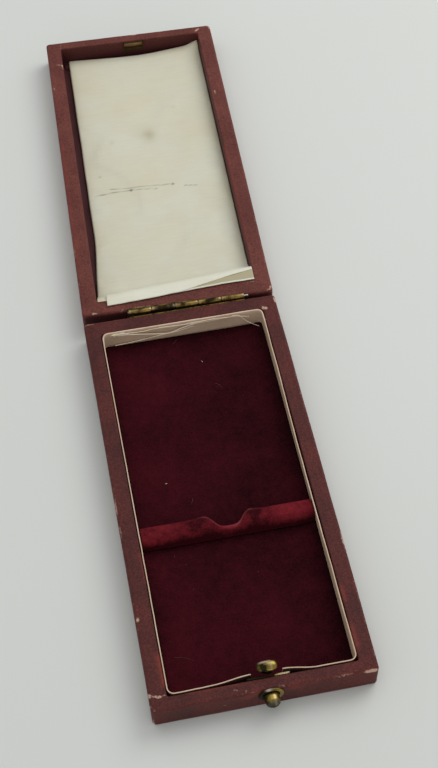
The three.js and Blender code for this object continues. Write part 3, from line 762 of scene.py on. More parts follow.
def wall_line(inset, pitch=0.5):
    """The line of the tray's liner drawn in by `inset`, from the right of the catch round to its
    left: each entry is x, y and the direction into the tray."""
    x = liner_high.x - inset
    front, rear = liner_low.y + inset, liner_high.y - inset
    r = 1.8 - inset
    ends = {"right": 4.9, "left": -2.8}
    bow = 1.15
    line = []

    def straight(a, b, inwards, bow_of=None):
        length = math.dist(a, b)
        for u in steps(length, pitch):
            px, py = lerp(a[0], b[0], u), lerp(a[1], b[1], u)
            line.append((px, py + (bow_of(px) if bow_of else 0), Vector(inwards)))

    def turn(cx, cy, start):
        for i in range(9):
            angle = start + i / 9 * math.pi / 2
            outwards = Vector((math.cos(angle), math.sin(angle)))
            line.append((cx + outwards.x * r, cy + outwards.y * r, -outwards))

    def bow_right(px):
        return bow * (1 - smooth_step(px, ends["right"], ends["right"] + 9))

    def bow_left(px):
        left = ends["left"]
        return bow * (0.45 * smooth_step(px, -19, left) + 0.55 * smooth_step(px, left - 9, left))

    straight((ends["right"], front), (x - r, front), (0, 1), bow_right)
    turn(x - r, front + r, -math.pi / 2)
    straight((x, front + r), (x, rear - r), (-1, 0))
    turn(x - r, rear - r, 0)
    straight((x - r, rear), (-x + r, rear), (0, -1))
    turn(-x + r, rear - r, math.pi / 2)
    straight((-x, rear - r), (-x, front + r), (1, 0))
    turn(-x + r, front + r, math.pi)
    straight((-x + r, front), (ends["left"], front), (0, 1), bow_left)
    line.append((ends["left"], front + bow, Vector((0, 1))))
    return line


CARD = {"rear": 0.42, "side": 0.29}
LINER_PROUD = 0.5  # how far the liner stands above the rim beside the hinge


def press_flat(piece):
    """Gives the piece its own copy of its mesh."""
    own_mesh(piece)


def line_tray():
    """The cream card strip round the tray, its cut edge standing just above the rim."""
    foot, top = liner_low.z, liner_high.z
    rows = []
    for x, y, inwards in wall_line(0):
        stand = top - 0.08 + 0.1 * waver((x, y, 0), 7, 3.0) + 0.05 * waver((x, y, 0), 1.6, 4.0)
        stand += LINER_PROUD * smooth_step(y, liner_high.y - 2.0, liner_high.y - 0.4)
        lean = 0.3 * smooth_step(x, 20, 23) * math.sin(math.pi * (y - liner_low.y) / 110) ** 2
        lean += 0.12 * waver((x, y, 0), 12, 9.0) + 0.06 * waver((x, y, 0), 4, 2.0)
        thick = lerp(CARD["side"], CARD["rear"], smooth_step(y, liner_high.y - 6, liner_high.y - 1))
        line = [(0.0, lerp(foot, stand - 0.1, u)) for u in (0.0, 0.35, 0.7, 1.0)]
        line += [(0.1, stand), (thick - 0.1, stand)]
        line += [(thick, lerp(foot, stand - 0.1, u)) for u in (1.0, 0.8, 0.6, 0.4, 0.2, 0.0)]
        row = []
        for depth, z in line:
            share = (z - foot) / (top - foot)
            push = depth + max(0.0, lean) * share * share
            row.append(Vector((x + inwards.x * push, y + inwards.y * push, z)))
        rows.append(row)
    size = len(rows), len(rows[0])
    faces = grid_faces(*size, tube=True)
    # The outer face, toward the rim, is coloured dark as painted shade; the top is the cut edge.
    back, edge = 2, 1
    round_strip = [back] * 3 + [edge] * 3 + [0] * (size[1] - 6)
    material_of = round_strip * (len(rows) - 1) + [edge] * 2
    liner = mesh_object("card_liner", flat(rows), faces + end_faces(*size),
                        [card_face, card_edge, card_back], material_of=material_of)
    face_outwards(liner)
    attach(liner, "tray")
    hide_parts("liner_card")
    press_flat(liner)


NOTCH_X = 0.3
NOTCH_DEPTH = 3.8


def velvet_bed(name, node, low, high):
    """A velvet bed glued to card: flat in the middle, its edges rolled up against the liner."""
    x0, x1 = low.x - 0.05, high.x + 0.05
    y0, y1 = low.y - 0.05, high.y + 0.05
    columns = [lerp(x0, x1, i / 89) for i in range(90)]
    count = round((y1 - y0) / 0.5)
    front_wall = liner_low.y + CARD["rear"] + 0.1
    rows, nap_and_painted_light = [], []
    for j in range(count + 1):
        y = lerp(y0, y1, j / count)
        row = []
        for x in columns:
            near_catch = hump(x, 1.0, 8) if y < front_wall + 3 else 0.0
            edge = min(x - x0, x1 - x, y - y0 + 0.2, y1 - y + 0.2)
            roll = 0.5 * math.exp(-min(x - x0, x1 - x) / 0.7) - 0.15 * math.exp(-(y1 - y) / 1.5)
            rise = 0.55 * smooth_step(x, 18, 22.3) * (0.6 + 0.4 * waver((x, y, 0), 17, 2.0))
            bed = high.z + roll + rise + 0.06 * waver((x, y, 0), 8, 1.0) - 0.1
            under = max(0.0, ridge_bite(x - NOTCH_X) - 0.2) if node == "velvet_rear_bed" else 0.0
            ahead = y - under * (1 - smooth_step(y, y0, y0 + 7))
            if y < front_wall + 1:
                ahead = max(y, front_wall + 0.95 * near_catch)
            row.append(Vector((x, ahead, bed)))
            # Brighter to the left and towards the front, with random lean, and darkened near the edges by
            # painted shade.
            lean = 0.02 - 0.007 * x + 0.12 * waver((x, y, 0), 15, 11.0)
            lean += 0.1 * smooth_step(-y, 20, 58) - 0.3 * math.exp(-edge / 1.6)
            nap_and_painted_light.append(lean)
        rows.append(row)
    bed = skin(name, rows, [bed_velvet], (0, 0, 1), 0.6, {"nap_and_painted_light": nap_and_painted_light})
    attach(bed, "tray")
    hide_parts(node)


def ridge_bite(dx):
    """How far the rear side is cut forward at a distance from the middle of the notch."""
    return NOTCH_DEPTH * math.exp(-((abs(dx) / 4.0) ** 4))


def ridge_lines(inset, foot):
    """The ridge's cross sections from left to right, drawn in by `inset`."""
    front, rear, top = ridge_low.y + inset, ridge_high.y - inset, ridge_high.z - inset
    count = 150
    for i in range(count + 1):
        x = lerp(ridge_low.x, ridge_high.x, i / count)
        dx = x - NOTCH_X
        back = rear - ridge_bite(dx) + 0.35 * hump(abs(dx), 6.2, 1.8)
        crest = top + 0.12 * waver((x, 0, 0), 8, 3.0) + 0.1 * hump(abs(dx), 6.4, 2.0)
        crest = min(crest - 0.3 * hump(dx, 0, 3.4), ridge_high.z + 0.15 - inset)
        width = back - front
        round_front = min(2.3, width * 0.62)
        round_back = min(1.7, width * 0.36)
        section = [(front, foot)]
        section += [(front, lerp(foot, crest - round_front, u)) for u in (0.35, 0.7, 1.0)]
        for k in range(1, 8):
            angle = k / 7 * math.pi / 2
            across, down = round_front * (1 - math.cos(angle)), round_front * (1 - math.sin(angle))
            section.append((front + across, crest - down))
        for k in range(8):
            angle = k / 7 * math.pi / 2
            across, down = round_back * (1 - math.sin(angle)), round_back * (1 - math.cos(angle))
            section.append((back - across, crest - down))
        section += [(back, lerp(crest - round_back, foot, u)) for u in (0.3, 0.65, 1.0)]
        yield x, back, crest, section


def ridge():
    """The velvet-covered cross ridge: a soft roll with a thumb notch worn into its rear side."""
    foot = ridge_low.z + 0.3
    rows, nap_and_painted_light, sheen_haze = [], [], []
    for x, back, crest, section in ridge_lines(0, foot):
        dx = x - NOTCH_X
        row = []
        for y, z in section:
            puff = 0.08 * waver((x, y, z), 3.2, 6.0) + 0.05 * waver((x, y, z), 1.1, 2.0)
            row.append(Vector((x, y - puff, z + puff if z > foot + 0.5 else z)))
            # The red varies in patches along the ridge. Painted on it: a shadow low at the right end, shade
            # down the lower side, sheen along the notch's back edge, and a pale haze where the pile catches
            # the light at the notch's shoulders.
            bright = -0.04 + 0.3 * hump(x, -18.5, 6.5) + 0.3 * hump(x, 16, 6.5) - 0.2 * hump(x, -7.5, 3.6)
            bright -= 0.36 * hump(x, 7.4, 2.6) + 0.3 * hump(x, 22.5, 1.8) * smooth_step(-z, -crest, -foot)
            bright += 0.42 * hump(dx, 0, 3.2)
            rim = 0.75 * hump(abs(dx), 3.0, 3.4) * smooth_step(y, back - 1.0, back - 0.2)
            low_side = 0.85 * smooth_step(-z, -foot - 3.9, -foot - 0.3)
            at_edge = smooth_step(y, back - 1.3, back - 0.5) * smooth_step(z, crest - 1.2, crest - 0.3)
            haze_at_notch = at_edge * (0.5 * hump(abs(dx), 5.2, 2.4) + 0.25 * hump(dx, 1.0, 2.4))
            sheen_haze.append(min(1.0, max(0.0, haze_at_notch * (0.8 + waver((x, y, z), 1.2, 8.0)))))
            nap_and_painted_light.append(bright + rim * smooth_step(z, crest - 1.4, crest - 0.3) - low_side
                       + 0.2 * waver((x, y, z), 4, 1.0) + 0.24 * waver((x, y, z), 1.5, 3.0))
        rows.append(row)
    roll = rod("velvet_ridge", rows, ridge_cloth, {"nap_and_painted_light": nap_and_painted_light, "sheen_haze": sheen_haze})
    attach(roll, "tray")
    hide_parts("ridge_velvet")
    lines = ridge_lines(0.6, bed_low.z + 0.1)
    bar = rod("ridge_bar", [[Vector((x, y, z)) for y, z in section] for x, _, _, section in lines], pine)
    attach(bar, "tray")
    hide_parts("ridge_core")


# ---------------------------------------------------------------- lid lining


def pad_sides(t):
    """Left and right edge of the satin at a distance from the hinge edge."""
    gap = 1.75 * smooth_step(t, 4, 36) + 0.12 * waver((0, t, 0), 14, 2.0)
    return -LID_INNER + 0.25 + gap, LID_INNER - 0.1


def pad_end(x):
    """Where the satin stops short of the far wall: furthest short in the middle."""
    return LID_FAR_WALL - 0.15 - 1.35 * math.cos(min(abs(x - 0.5) / 23, 1.0) * math.pi / 2) ** 1.5


SATIN_START = 4.25
MOST_RISE = 0.3


def settle_satin():
    """Lets a slightly oversize sheet of satin, held round its edges, find its own soft buckles. It is
    simulated ten times life size, since cloth solvers work best on sheets about a metre long."""
    scale, columns, lines = 10, 34, 80
    width, length = 2 * LID_INNER, LID_FAR_WALL - SATIN_START
    points = [Vector((width * i / (columns - 1), length * j / (lines - 1),
                      0.05 * waver((width * i / columns, length * j / lines, 0), 9, 4.0))) * scale
              for j in range(lines) for i in range(columns)]
    sheet = mesh_object("settling", points, grid_faces(lines, columns), [])
    held = sheet.vertex_groups.new(name="held")
    border = [j * columns + i for j in range(lines) for i in range(columns)
              if i in (0, columns - 1) or j in (0, 1, 2, lines - 1)]
    held.add(border, 1.0, "REPLACE")
    cloth = sheet.modifiers.new("satin", "CLOTH").settings
    for setting, value in dict(quality=6, mass=0.15, tension_stiffness=20, compression_stiffness=20,
                               bending_stiffness=1.5, vertex_group_mass="held", shrink_min=-0.006).items():
        setattr(cloth, setting, value)
    cloth.effector_weights.gravity = 0
    scene = bpy.context.scene
    for step in range(1, 31):
        scene.frame_set(step)
    settled = sheet.evaluated_get(bpy.context.evaluated_depsgraph_get()).to_mesh()
    rises = [MOST_RISE * math.tanh(v.co.z / scale / MM / MOST_RISE) for v in settled.vertices]
    scene.frame_set(1)
    bpy.data.objects.remove(sheet)

    def rise(x, t):
        a = min(max((x + LID_INNER) / width * (columns - 1), 0.0), columns - 1.001)
        b = min(max((t - SATIN_START) / length * (lines - 1), 0.0), lines - 1.001)
        i, u, v = int(b) * columns + int(a), a - int(a), b - int(b)
        this_line, next_line = (lerp(rises[k], rises[k + 1], u) for k in (i, i + columns))
        return lerp(this_line, next_line, v)

    return rise


satin_rise = settle_satin()


def fold_line(x):
    """Where the folded strip ends, measured from the hinge edge."""
    return lerp(6.9, 10.3, (x + 20) / 43)


def pad_level(x, t):
    """Height of the satin: sunk below the rim, fuller at the right, carried up on to the rim at the
    hinge end and lifted at the far right corner."""
    sunk = -5.45 + 0.95 * smooth_step(x, 2, 23) + 0.3 * math.cos(x / 23 * math.pi / 2)
    sunk += 0.7 * satin_rise(x, t) * (1 - smooth_step(t, 92, 100)) + 0.03 * waver((x, t, 0), 3, 2.0)
    sunk += 1.7 * math.exp(-((LID_INNER - x) ** 2 + (LID_FAR_WALL - t) ** 2) / 9)
    sunk -= 0.15 * math.exp(-max(LID_INNER - x, 0) / 1.2) * smooth_step(t, 12, 30)
    return lerp(0.12, sunk, smooth_step(t, fold_line(x) - 2.5, fold_line(x) + 5.5))


# The thread pulled across the satin: straight runs between where it surfaces.
PULLED = [((-18.7, 51.0), (-13, 51.5)), ((-13, 51.5), (-8, 51.45)), ((-8, 51.45), (0.4, 50.4)),
          ((-13.8, 53.1), (-8, 52.4)), ((-8, 52.4), (5.6, 51.5)), ((9, 50.1), (13, 49.3))]


# Stains on the satin: x, t, radius, strength, then how much each is squeezed along t.
STAINS = [(1.1, 74.2, 1.9, 0.3, 0.8), (0.4, 74.8, 4.2, 0.16, 1), (-11.1, 72.8, 0.9, 0.16, 1),
          (10.5, 85.5, 0.7, 0.16, 1), (-16.4, 58.9, 0.4, 0.45, 1)]


def satin_marks(x, t, left, end):
    """How brown-tinted and how pulled the satin is at a spot: its stains, and painted shade along its far
    end and its sides.
    """
    brown_tint = sum(strength * hump(math.hypot(x - at_x, (t - at_t) * squeeze), 0, radius)
                for at_x, at_t, radius, strength, squeeze in STAINS)
    # Painted shade along the far end and both sides, next to the walls.
    brown_tint += 0.3 * hump(end - t, 0, 1.8) * (0.7 + 0.5 * waver((x, 0, 0), 8, 5.0))
    brown_tint += 0.2 * hump(x - left, 0, 1.4)
    brown_tint += 0.3 * hump(LID_INNER - x, 0, 1.8) * smooth_step(t, 14, 30)
    away = min(near_segment((x, t), a, b) for a, b in PULLED) if 48 < t < 55 else 9.0
    pulled = 0.62 * hump(away, 0, 0.17) * (0.75 + 0.7 * waver((x, 0, 0), 2.4, 4.0))
    pulled += 0.95 * hump(math.hypot(x + 7.5, t - 51.4), 0, 0.4)
    pulled += 0.7 * hump(math.hypot(x - 5.6, t - 51.5), 0, 0.36)
    return min(max(brown_tint, 0.0), 1.0), min(max(pulled, 0.0), 1.0)


def satin_pad():
    """The satin over its wadding: tucked down at its sides, its hinge end lying over the rim."""
    # how far in from a side and how far down each line of the rolled edge lies
    edge = [(0.0, 1.5), (0.0, 0.9), (0.02, 0.5), (0.1, 0.22), (0.28, 0.06)]
    columns = 140
    levels = sorted([j / 280 for j in range(281)] + [0.4381 + 0.0013 * k for k in range(44)])
    last = len(levels) - 1
    rows, brown_tint, pulled = [], [], []
    for j in range(-3, last + 4):
        v = levels[min(max(j, 0), last)]
        end_drop = {last + 1: 0.2, last + 2: 0.6, last + 3: 1.4}.get(j, 0.0)
        start_drop = {-1: 0.03, -2: 0.06, -3: 0.08}.get(j, 0.0)
        row = []
        left, right = pad_sides(lerp(SATIN_START, LID_FAR_WALL - 0.8, v))
        spots = [(left + inset, drop) for inset, drop in edge]
        spots += [(lerp(left + 0.5, right - 0.3, i / columns), 0.0) for i in range(columns + 1)]
        spots += [(right - inset * 0.5, drop * 0.7) for inset, drop in reversed(edge)]
        for x, drop in spots:
            start = SATIN_START + 1.4 * smooth_step(x, -19.5, 20)
            t = lerp(start, pad_end(x), v) + 0.1 * end_drop
            hang = drop * smooth_step(t, 5.0, 12.0) + end_drop + start_drop
            row.append(LID.at(x, t, max(pad_level(x, t) - hang, -6.55)))
            marks = satin_marks(x, t, left, pad_end(x))
            brown_tint.append(marks[0])
            pulled.append(marks[1])
        rows.append(row)
    pad = skin("satin_pad", rows, [cream_satin], (0, 0, 1), 0.1, {"brown_tint": brown_tint, "pulled": pulled})
    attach(pad, "lid")
    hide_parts("satin_lining")
    return pad


def pad_filling():
    """The wadding and the stiff card under the satin, kept inside its tucked edges."""
    layers = (("wadding_layer", "pad_wadding", -6.2, -5.8, 0.1, wadding, "wadding"),
              ("pad_stiffener", "pad_card", -6.55, -6.25, 0, strawboard, "board"))
    for name, node, low, high, lumps, material, cover_slot in layers:
        top, under = [], []
        for j in range(61):
            t = lerp(LID.near + 1.2, LID_FAR_WALL - 2.3, j / 60)
            left, right = pad_sides(t)
            xs = [lerp(left + 0.75, right - 0.7, i / 30) for i in range(31)]
            top.append([LID.at(x, t, high + lumps * (waver((x, t, 0), 6, 2.0) - 0.5)) for x in xs])
            under.append([LID.at(x, t, low) for x in xs])
        rows = [a + b[::-1] for a, b in zip(top, under)]
        layer = rod(name, rows, material)
        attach(layer, "lid")
        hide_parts(node)


def folded_satin():
    """The satin's free end beside the hinge: a strip folded back on itself, its raw edge a little uneven.
    """

    def near_line(x):
        return lerp(2.1, 4.75, smooth_step(x, -25, 22)) + 0.1 * waver((x, 0, 0), 3, 1.0)

    def flap_line(x):
        return lerp(near_line(x) - 0.04, 8.7, min(max((x - 1) / 22, 0.0), 1.0) ** 1.2)

    def surface(x, t):
        """The fold lies on the pad's satin, which is carried up on to the rim."""
        return pad_level(x, t) + 0.16

    raw_edge = 0.54
    rows, under = [], []
    for i in range(121):
        x = lerp(-20.0, 22.9, i / 120)
        far, near, flap = fold_line(x), near_line(x), flap_line(x)
        row = []
        for t in [near, near + 0.48] + [lerp(near + raw_edge, far, k / 10) for k in range(11)]:
            row.append(LID.at(x, t, surface(x, t) + 0.05 * waver((x, t, 0), 4, 3.0)))
            under.append(1.0 if t - near > 0.5 else 0.0)
        for k in range(1, 5):
            angle = k / 5 * math.pi
            t = far + 0.16 * math.sin(angle)
            row.append(LID.at(x, t, surface(x, far) + 0.18 * (1 - math.cos(angle))))
            under.append(0.3)
        for k in range(13):
            t = lerp(far, flap, k / 12)
            rise = lerp(0.36, 0.22, k / 12) + 0.1 * math.sin(math.pi * k / 12)
            row.append(LID.at(x, t, surface(x, t) + rise + 0.06 * waver((x, t, 0), 5, 6.0)))
            under.append(0.0)
        rows.append(row)
    brown_tint = [0.72 * share for share in under]
    fold = skin("folded_satin_strip", rows, [satin_trim], (0, 0, -1), 0.1, {"brown_tint": brown_tint})
    area = sheet_area(rows)
    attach(fold, "lid")
    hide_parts("satin_fold")
    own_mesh(fold)
    return fold


def sheet_area(rows):
    """The area of a sheet of points, in square metres."""
    total = 0.0
    for a, b in zip(rows, rows[1:]):
        for k in range(len(a) - 1):
            total += ((b[k] - a[k]).cross(a[k + 1] - a[k])).length / 2
            total += ((b[k + 1] - b[k]).cross(b[k + 1] - a[k + 1])).length / 2
    return total * MM * MM


# ---------------------------------------------------------------- torn satin and threads


def thread(points, radius, name="thread", material=None):
    """A thread through points in the frame, smoothed between them."""
    line = []
    for i in range(len(points) - 1):
        p0, p1 = points[max(i - 1, 0)], points[i]
        p2, p3 = points[i + 1], points[min(i + 2, len(points) - 1)]
        for k in range(8):
            u = k / 8
            line.append(0.5 * ((2 * p1) + (p2 - p0) * u + (2 * p0 - 5 * p1 + 4 * p2 - p3) * u ** 2
                               + (3 * p1 - p0 - 3 * p2 + p3) * u ** 3))
    line.append(points[-1].copy())
    rows = []
    for i, p in enumerate(line):
        along = (line[min(i + 1, len(line) - 1)] - line[max(i - 1, 0)]).normalized()
        side = along.cross(Vector((0, 0, 1)))
        if side.length < 1e-3:
            side = along.cross(Vector((1, 0, 0)))
        side.normalize()
        up = side.cross(along)
        size = radius * (1 - 0.35 * i / len(line))
        rows.append([p + (side * math.cos(a) + up * math.sin(a)) * size
                     for a in (math.tau * k / 6 for k in range(6))])
    return rod(name, rows, material or sewing_cotton)


# Threads left where the satin tore, as x, distance in front of the liner's face, height in the frame.
THREADS = [
    [(-20.3, 0.3, 8.2), (-16.0, 0.5, 7.7), (-11.4, 0.7, 7.0), (-4.6, 0.9, 5.9), (-0.2, 0.7, 7.0),
     (4.8, 0.4, 8.0), (9.2, 0.35, 8.3)],
    [(-6.9, 0.35, 8.3), (-1.3, 0.4, 8.1), (4.7, 0.5, 7.8), (10.8, 0.45, 8.0), (16.0, 0.4, 8.2)],
    [(14.0, 0.35, 8.3), (16.0, 0.45, 8.1), (18.4, 0.9, 5.4), (20.3, 1.4, 4.2), (21.6, 1.9, 3.7)],
    [(-19.7, 0.45, 3.6), (-14.4, 0.4, 3.9), (-9.6, 0.3, 4.4), (-5.5, 0.3, 5.0), (-1.9, 0.3, 5.3),
     (3.0, 0.3, 6.6)],
    [(-18.0, 0.35, 8.3), (-12.0, 0.45, 7.9), (-8.0, 0.4, 8.2), (-2.0, 0.4, 7.9), (3.0, 0.35, 8.3)],
    [(2.0, 0.35, 8.1), (7.0, 0.4, 8.3), (12.0, 0.35, 8.1), (16.5, 0.5, 7.7), (19.0, 0.5, 7.0)],
    [(-20.6, 0.3, 8.0), (-18.6, 0.6, 8.3), (-17.0, 0.5, 7.6), (-15.2, 0.5, 8.2), (-14.2, 0.4, 7.7)],
]


def torn_satin():
    """The torn end of the satin still glued along the rear of the liner, and its loose threads."""
    face = liner_high.y - CARD["rear"]
    parts = []
    for i, points in enumerate(THREADS):
        radius = 0.19 if i in (0, 3) else 0.12
        parts.append(thread([Vector((x, face - out, z)) for x, out, z in points], radius))
    rows = []
    for i in range(13):
        x = lerp(-19.9, -16.6, i / 12)
        drop = 1.1 + 0.2 * math.sin(i * 1.3)
        rows.append([Vector((x, face - 0.15 - 0.1 * k / 4, liner_high.z + 0.1 - drop * k / 4))
                     for k in range(5)])
    parts.append(skin("strip", rows, [satin_trim], (0, -1, 0), 0.1))
    torn = joined("torn_satin_and_threads", parts)
    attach(torn, "tray")
    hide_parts("satin_remnant")
    press_flat(torn)


# ---------------------------------------------------------------- hinge


HINGE = {"length": 33.4, "knuckles": 5, "radius": 0.75, "bore": 0.36, "pin": 0.3, "leaf": 0.4, "depth": 5.0}


def ring_about(centre, along, profile, sides=40):
    """Rings of points round an axis, one for each (distance along, radius) of a profile."""
    side = along.cross(Vector((0, 0, 1))).normalized()
    up = side.cross(along)
    return [[centre + along * s + (side * math.cos(a) + up * math.sin(a)) * r
             for a in (math.tau * k / sides for k in range(sides))] for s, r in profile]


def lathe(name, centre, along, profile, material, sides=40, marks=None, tube=False):
    """A turned piece; with tube its profile closes on itself and leaves a bore."""
    rows = ring_about(centre, along, profile, sides)
    if not tube:
        return rod(name, rows, material, marks)
    faces = grid_faces(len(rows), sides, ring=True, tube=True)
    return face_outwards(mesh_object(name, flat(rows), faces, [material], marks))


def slab(name, half, x, t, h, bevel):
    """A brass plate between two values of x, t and h, with softened edges, dull along its top."""
    plate = block(name, half, x, t, h, [hinge_brass])
    soften = plate.modifiers.new("edges", "BEVEL")
    soften.width = bevel * MM
    soften.segments = 3
    apply_modifiers(plate)
    heights = [vertex.co.z / MM for vertex in plate.data.vertices]
    dark = [0.22 * smooth_step(height, RIM_LEVEL - 1.4, RIM_LEVEL - 0.6) for height in heights]
    give_marks(plate.data, {"bare_and_highlight": [0.0] * len(dark), "dark": dark})
    return plate


def hinge_leaf(name, node, half, first):
    """One leaf with its rolled knuckles. Each knuckle shows the seam where the brass meets itself."""
    middle, length = HINGE_MIDDLE, HINGE["length"]
    pitch = length / HINGE["knuckles"]
    ends = (middle - length / 2, middle + length / 2)
    parts = [slab("leaf", half, ends, (0.05, 0.05 + HINGE["leaf"]), (-HINGE["depth"], -0.02), 0.08)]
    for i in range(first, HINGE["knuckles"], 2):
        s0 = -length / 2 + i * pitch + 0.1
        s1 = s0 + pitch - 0.2
        r, bore, soft = HINGE["radius"], HINGE["bore"], 0.12
        profile = [(s0, bore), (s0, r - soft), (s0 + soft * 0.4, r - soft * 0.3), (s0 + soft, r)]
        profile += [(lerp(s0 + soft, s1 - soft, u), r) for u in (0.1, 0.3, 0.5, 0.7, 0.9)]
        profile += [(s1 - soft, r), (s1 - soft * 0.4, r - soft * 0.3), (s1, r - soft), (s1, bore)]
        bare_and_highlight, dark = [], []
        for (s, _), ring in zip(profile, ring_about(HINGE_CENTRE, HINGE_AXIS, profile)):
            at_end = min(s - s0, s1 - s)
            for p in ring:
                # Painted highlights on top near each knuckle's ends: paler brass and less tarnish there.
                on_top = smooth_step(p.z, HINGE_CENTRE.z + 0.3, HINGE_CENTRE.z + 0.7)
                bare_and_highlight.append(0.32 * on_top * hump(at_end, 0.1, 0.45) * (0.6 + 0.8 * waver(p, 4, 2.0)))
                dark.append(0.5 * waver(p, 3, 5.0) + 0.14 - 0.3 * on_top * hump(at_end, 0.2, 0.7))
        parts.append(lathe("knuckle", HINGE_CENTRE, HINGE_AXIS, profile, hinge_brass, tube=True,
                           marks={"bare_and_highlight": bare_and_highlight, "dark": dark}))
        reach = HINGE_REACH * 0.98
        parts.append(slab("web", half, (middle + s0 + 0.1, middle + s1 - 0.1), (-reach + 0.55, 0.3),
                          (-1.0, -0.5), 0.06))
    leaf = joined(name, parts)
    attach(leaf, half.body)
    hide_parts(node)


def pin():
    half_length, r = HINGE["length"] / 2, HINGE["pin"]
    profile = [(-half_length - 0.2, 0.02), (-half_length - 0.2, r * 0.7), (-half_length - 0.1, r),
               (half_length + 1.05, r), (half_length + 1.2, r * 0.7), (half_length + 1.2, 0.02)]
    wire = lathe("hinge_wire", HINGE_CENTRE, HINGE_AXIS, profile, steel_wire, sides=20)
    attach(wire, "tray")
    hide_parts("hinge_pin")


# ---------------------------------------------------------------- clasp


def clasp_marks(rows, darkness, highlight_at):
    """How tarnished and how bare the brass is at each point, from its place beside the clasp."""
    spots = [(p.x - CLASP_X, p.y - tray_low.y, p.z - CLASP_Z) for row in rows for p in row]
    return {"dark": [darkness(*spot) for spot in spots], "bare_and_highlight": [highlight_at(*spot) for spot in spots]}


def turned_collar():
    flange, bore, barrel = 3.1, 1.95, 2.1
    profile = [(3.1, 0.8), (3.1, barrel), (-0.02, barrel), (-0.02, flange), (-0.18, flange),
               (-0.34, flange - 0.08), (-0.46, flange - 0.26), (-0.52, flange - 0.55), (-0.5, bore + 0.45),
               (-0.42, bore + 0.12), (-0.3, bore), (2.8, bore), (2.8, 0.8)]
    # Painted shade and light: darker on the left, golden on the right, with a pale painted highlight along
    # the top of the flange.
    marks = clasp_marks(
        ring_about(CLASP_FRONT, INTO, profile, 72),
        lambda x, y, z: 0.75 * smooth_step(-x, -0.6, 1.2) + 0.2 - 0.35 * smooth_step(x, 0.6, 2.4),
        lambda x, y, z: 0.8 * hump(x, -0.75, 0.8) * smooth_step(z, 2.4, 2.8))
    collar = lathe("turned_collar", CLASP_FRONT, INTO, profile, old_brass, 72, marks, tube=True)
    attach(collar, "tray")
    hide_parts("button_collar")


def domed_button():
    radius, proud = (button_high.x - button_low.x) / 2, tray_low.y - button_low.y
    profile = []
    for k in range(13):
        angle = k / 12 * math.pi / 2
        profile.append((-proud + radius * 0.8 * (1 - math.cos(angle)), max(radius * math.sin(angle), 0.01)))
    profile += [(-1.2, radius - 0.02), (0.1, radius), (0.2, radius - 0.1), (0.2, 0.02)]
    # Painted shade at the front tip, the left and the lower half; a pale painted highlight in a band right
    # of centre and a faint ring near the front.
    marks = clasp_marks(
        ring_about(CLASP_FRONT, INTO, profile, 72),
        lambda x, y, z: (0.42 * smooth_step(-y, 2.0, 3.3) + 0.3 * hump(x, -1.7, 0.6)
                         + 0.26 * smooth_step(-z, -1, 1)),
        lambda x, y, z: 0.24 * hump(x, 0.6, 0.35) * smooth_step(z, -0.2, 0.8) + 0.1 * hump(y, -3.0, 0.4))
    button = lathe("domed_button", CLASP_FRONT, INTO, profile, old_brass, 72, marks)
    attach(button, "clasp")
    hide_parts("push_button")


def catch_plate():
    """The thin plate behind the front rail. Only its upper edge shows, painted darker at its left and
    golden with a pale painted highlight at its right.
    """
    low, high = box_mm("catch_plate")
    low.z += 0.02
    corners = (low.y, low.z), (low.y, high.z), (high.y, high.z), (high.y, low.z)
    rows, dark, bare_and_highlight = [], [], []
    for i in range(25):
        x = lerp(low.x, high.x, i / 24)
        # Painted highlight at the right end, painted shade towards the left.
        bare_and_highlight += [0.5 * smooth_step(x - CLASP_X, 1.8, 3.0)] * 4
        rows.append([Vector((x, y, z)) for y, z in corners])
        dark += [0.9 - 1.1 * smooth_step(x - CLASP_X, 0.6, 2.4) + 0.1 * waver((x, 0, 0), 2, 1.0)] * 4
    plate = rod("brass_catch_plate", rows, old_brass, {"dark": dark, "bare_and_highlight": bare_and_highlight})
    stem_low, stem_high = box_mm("button_stem")
    eye = (stem_high.x - stem_low.x) / 2 + 0.25
    drill(plate, 2.0, 5.0, eye, 32)
    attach(plate, "tray")
    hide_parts("catch_plate")


def coil_spring():
    """The spring behind the button."""
    low, high = box_mm("button_spring")
    wire, turns = 0.15, 5
    radius = (high.x - low.x) / 2 - wire
    length = high.y - low.y - 2 * wire
    rows = []
    for i in range(turns * 20 + 1):
        angle = math.tau * i / 20
        centre = Vector((CLASP_X, low.y + wire + length * i / (turns * 20), CLASP_Z))
        out = Vector((math.cos(angle), 0, math.sin(angle)))
        rows.append([centre + out * (radius + wire * math.cos(a)) + INTO * wire * math.sin(a)
                     for a in (math.tau * k / 8 for k in range(8))])
    spring = rod("coil_spring", rows, steel_wire)
    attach(spring, "tray")
    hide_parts("button_spring")
    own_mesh(spring)


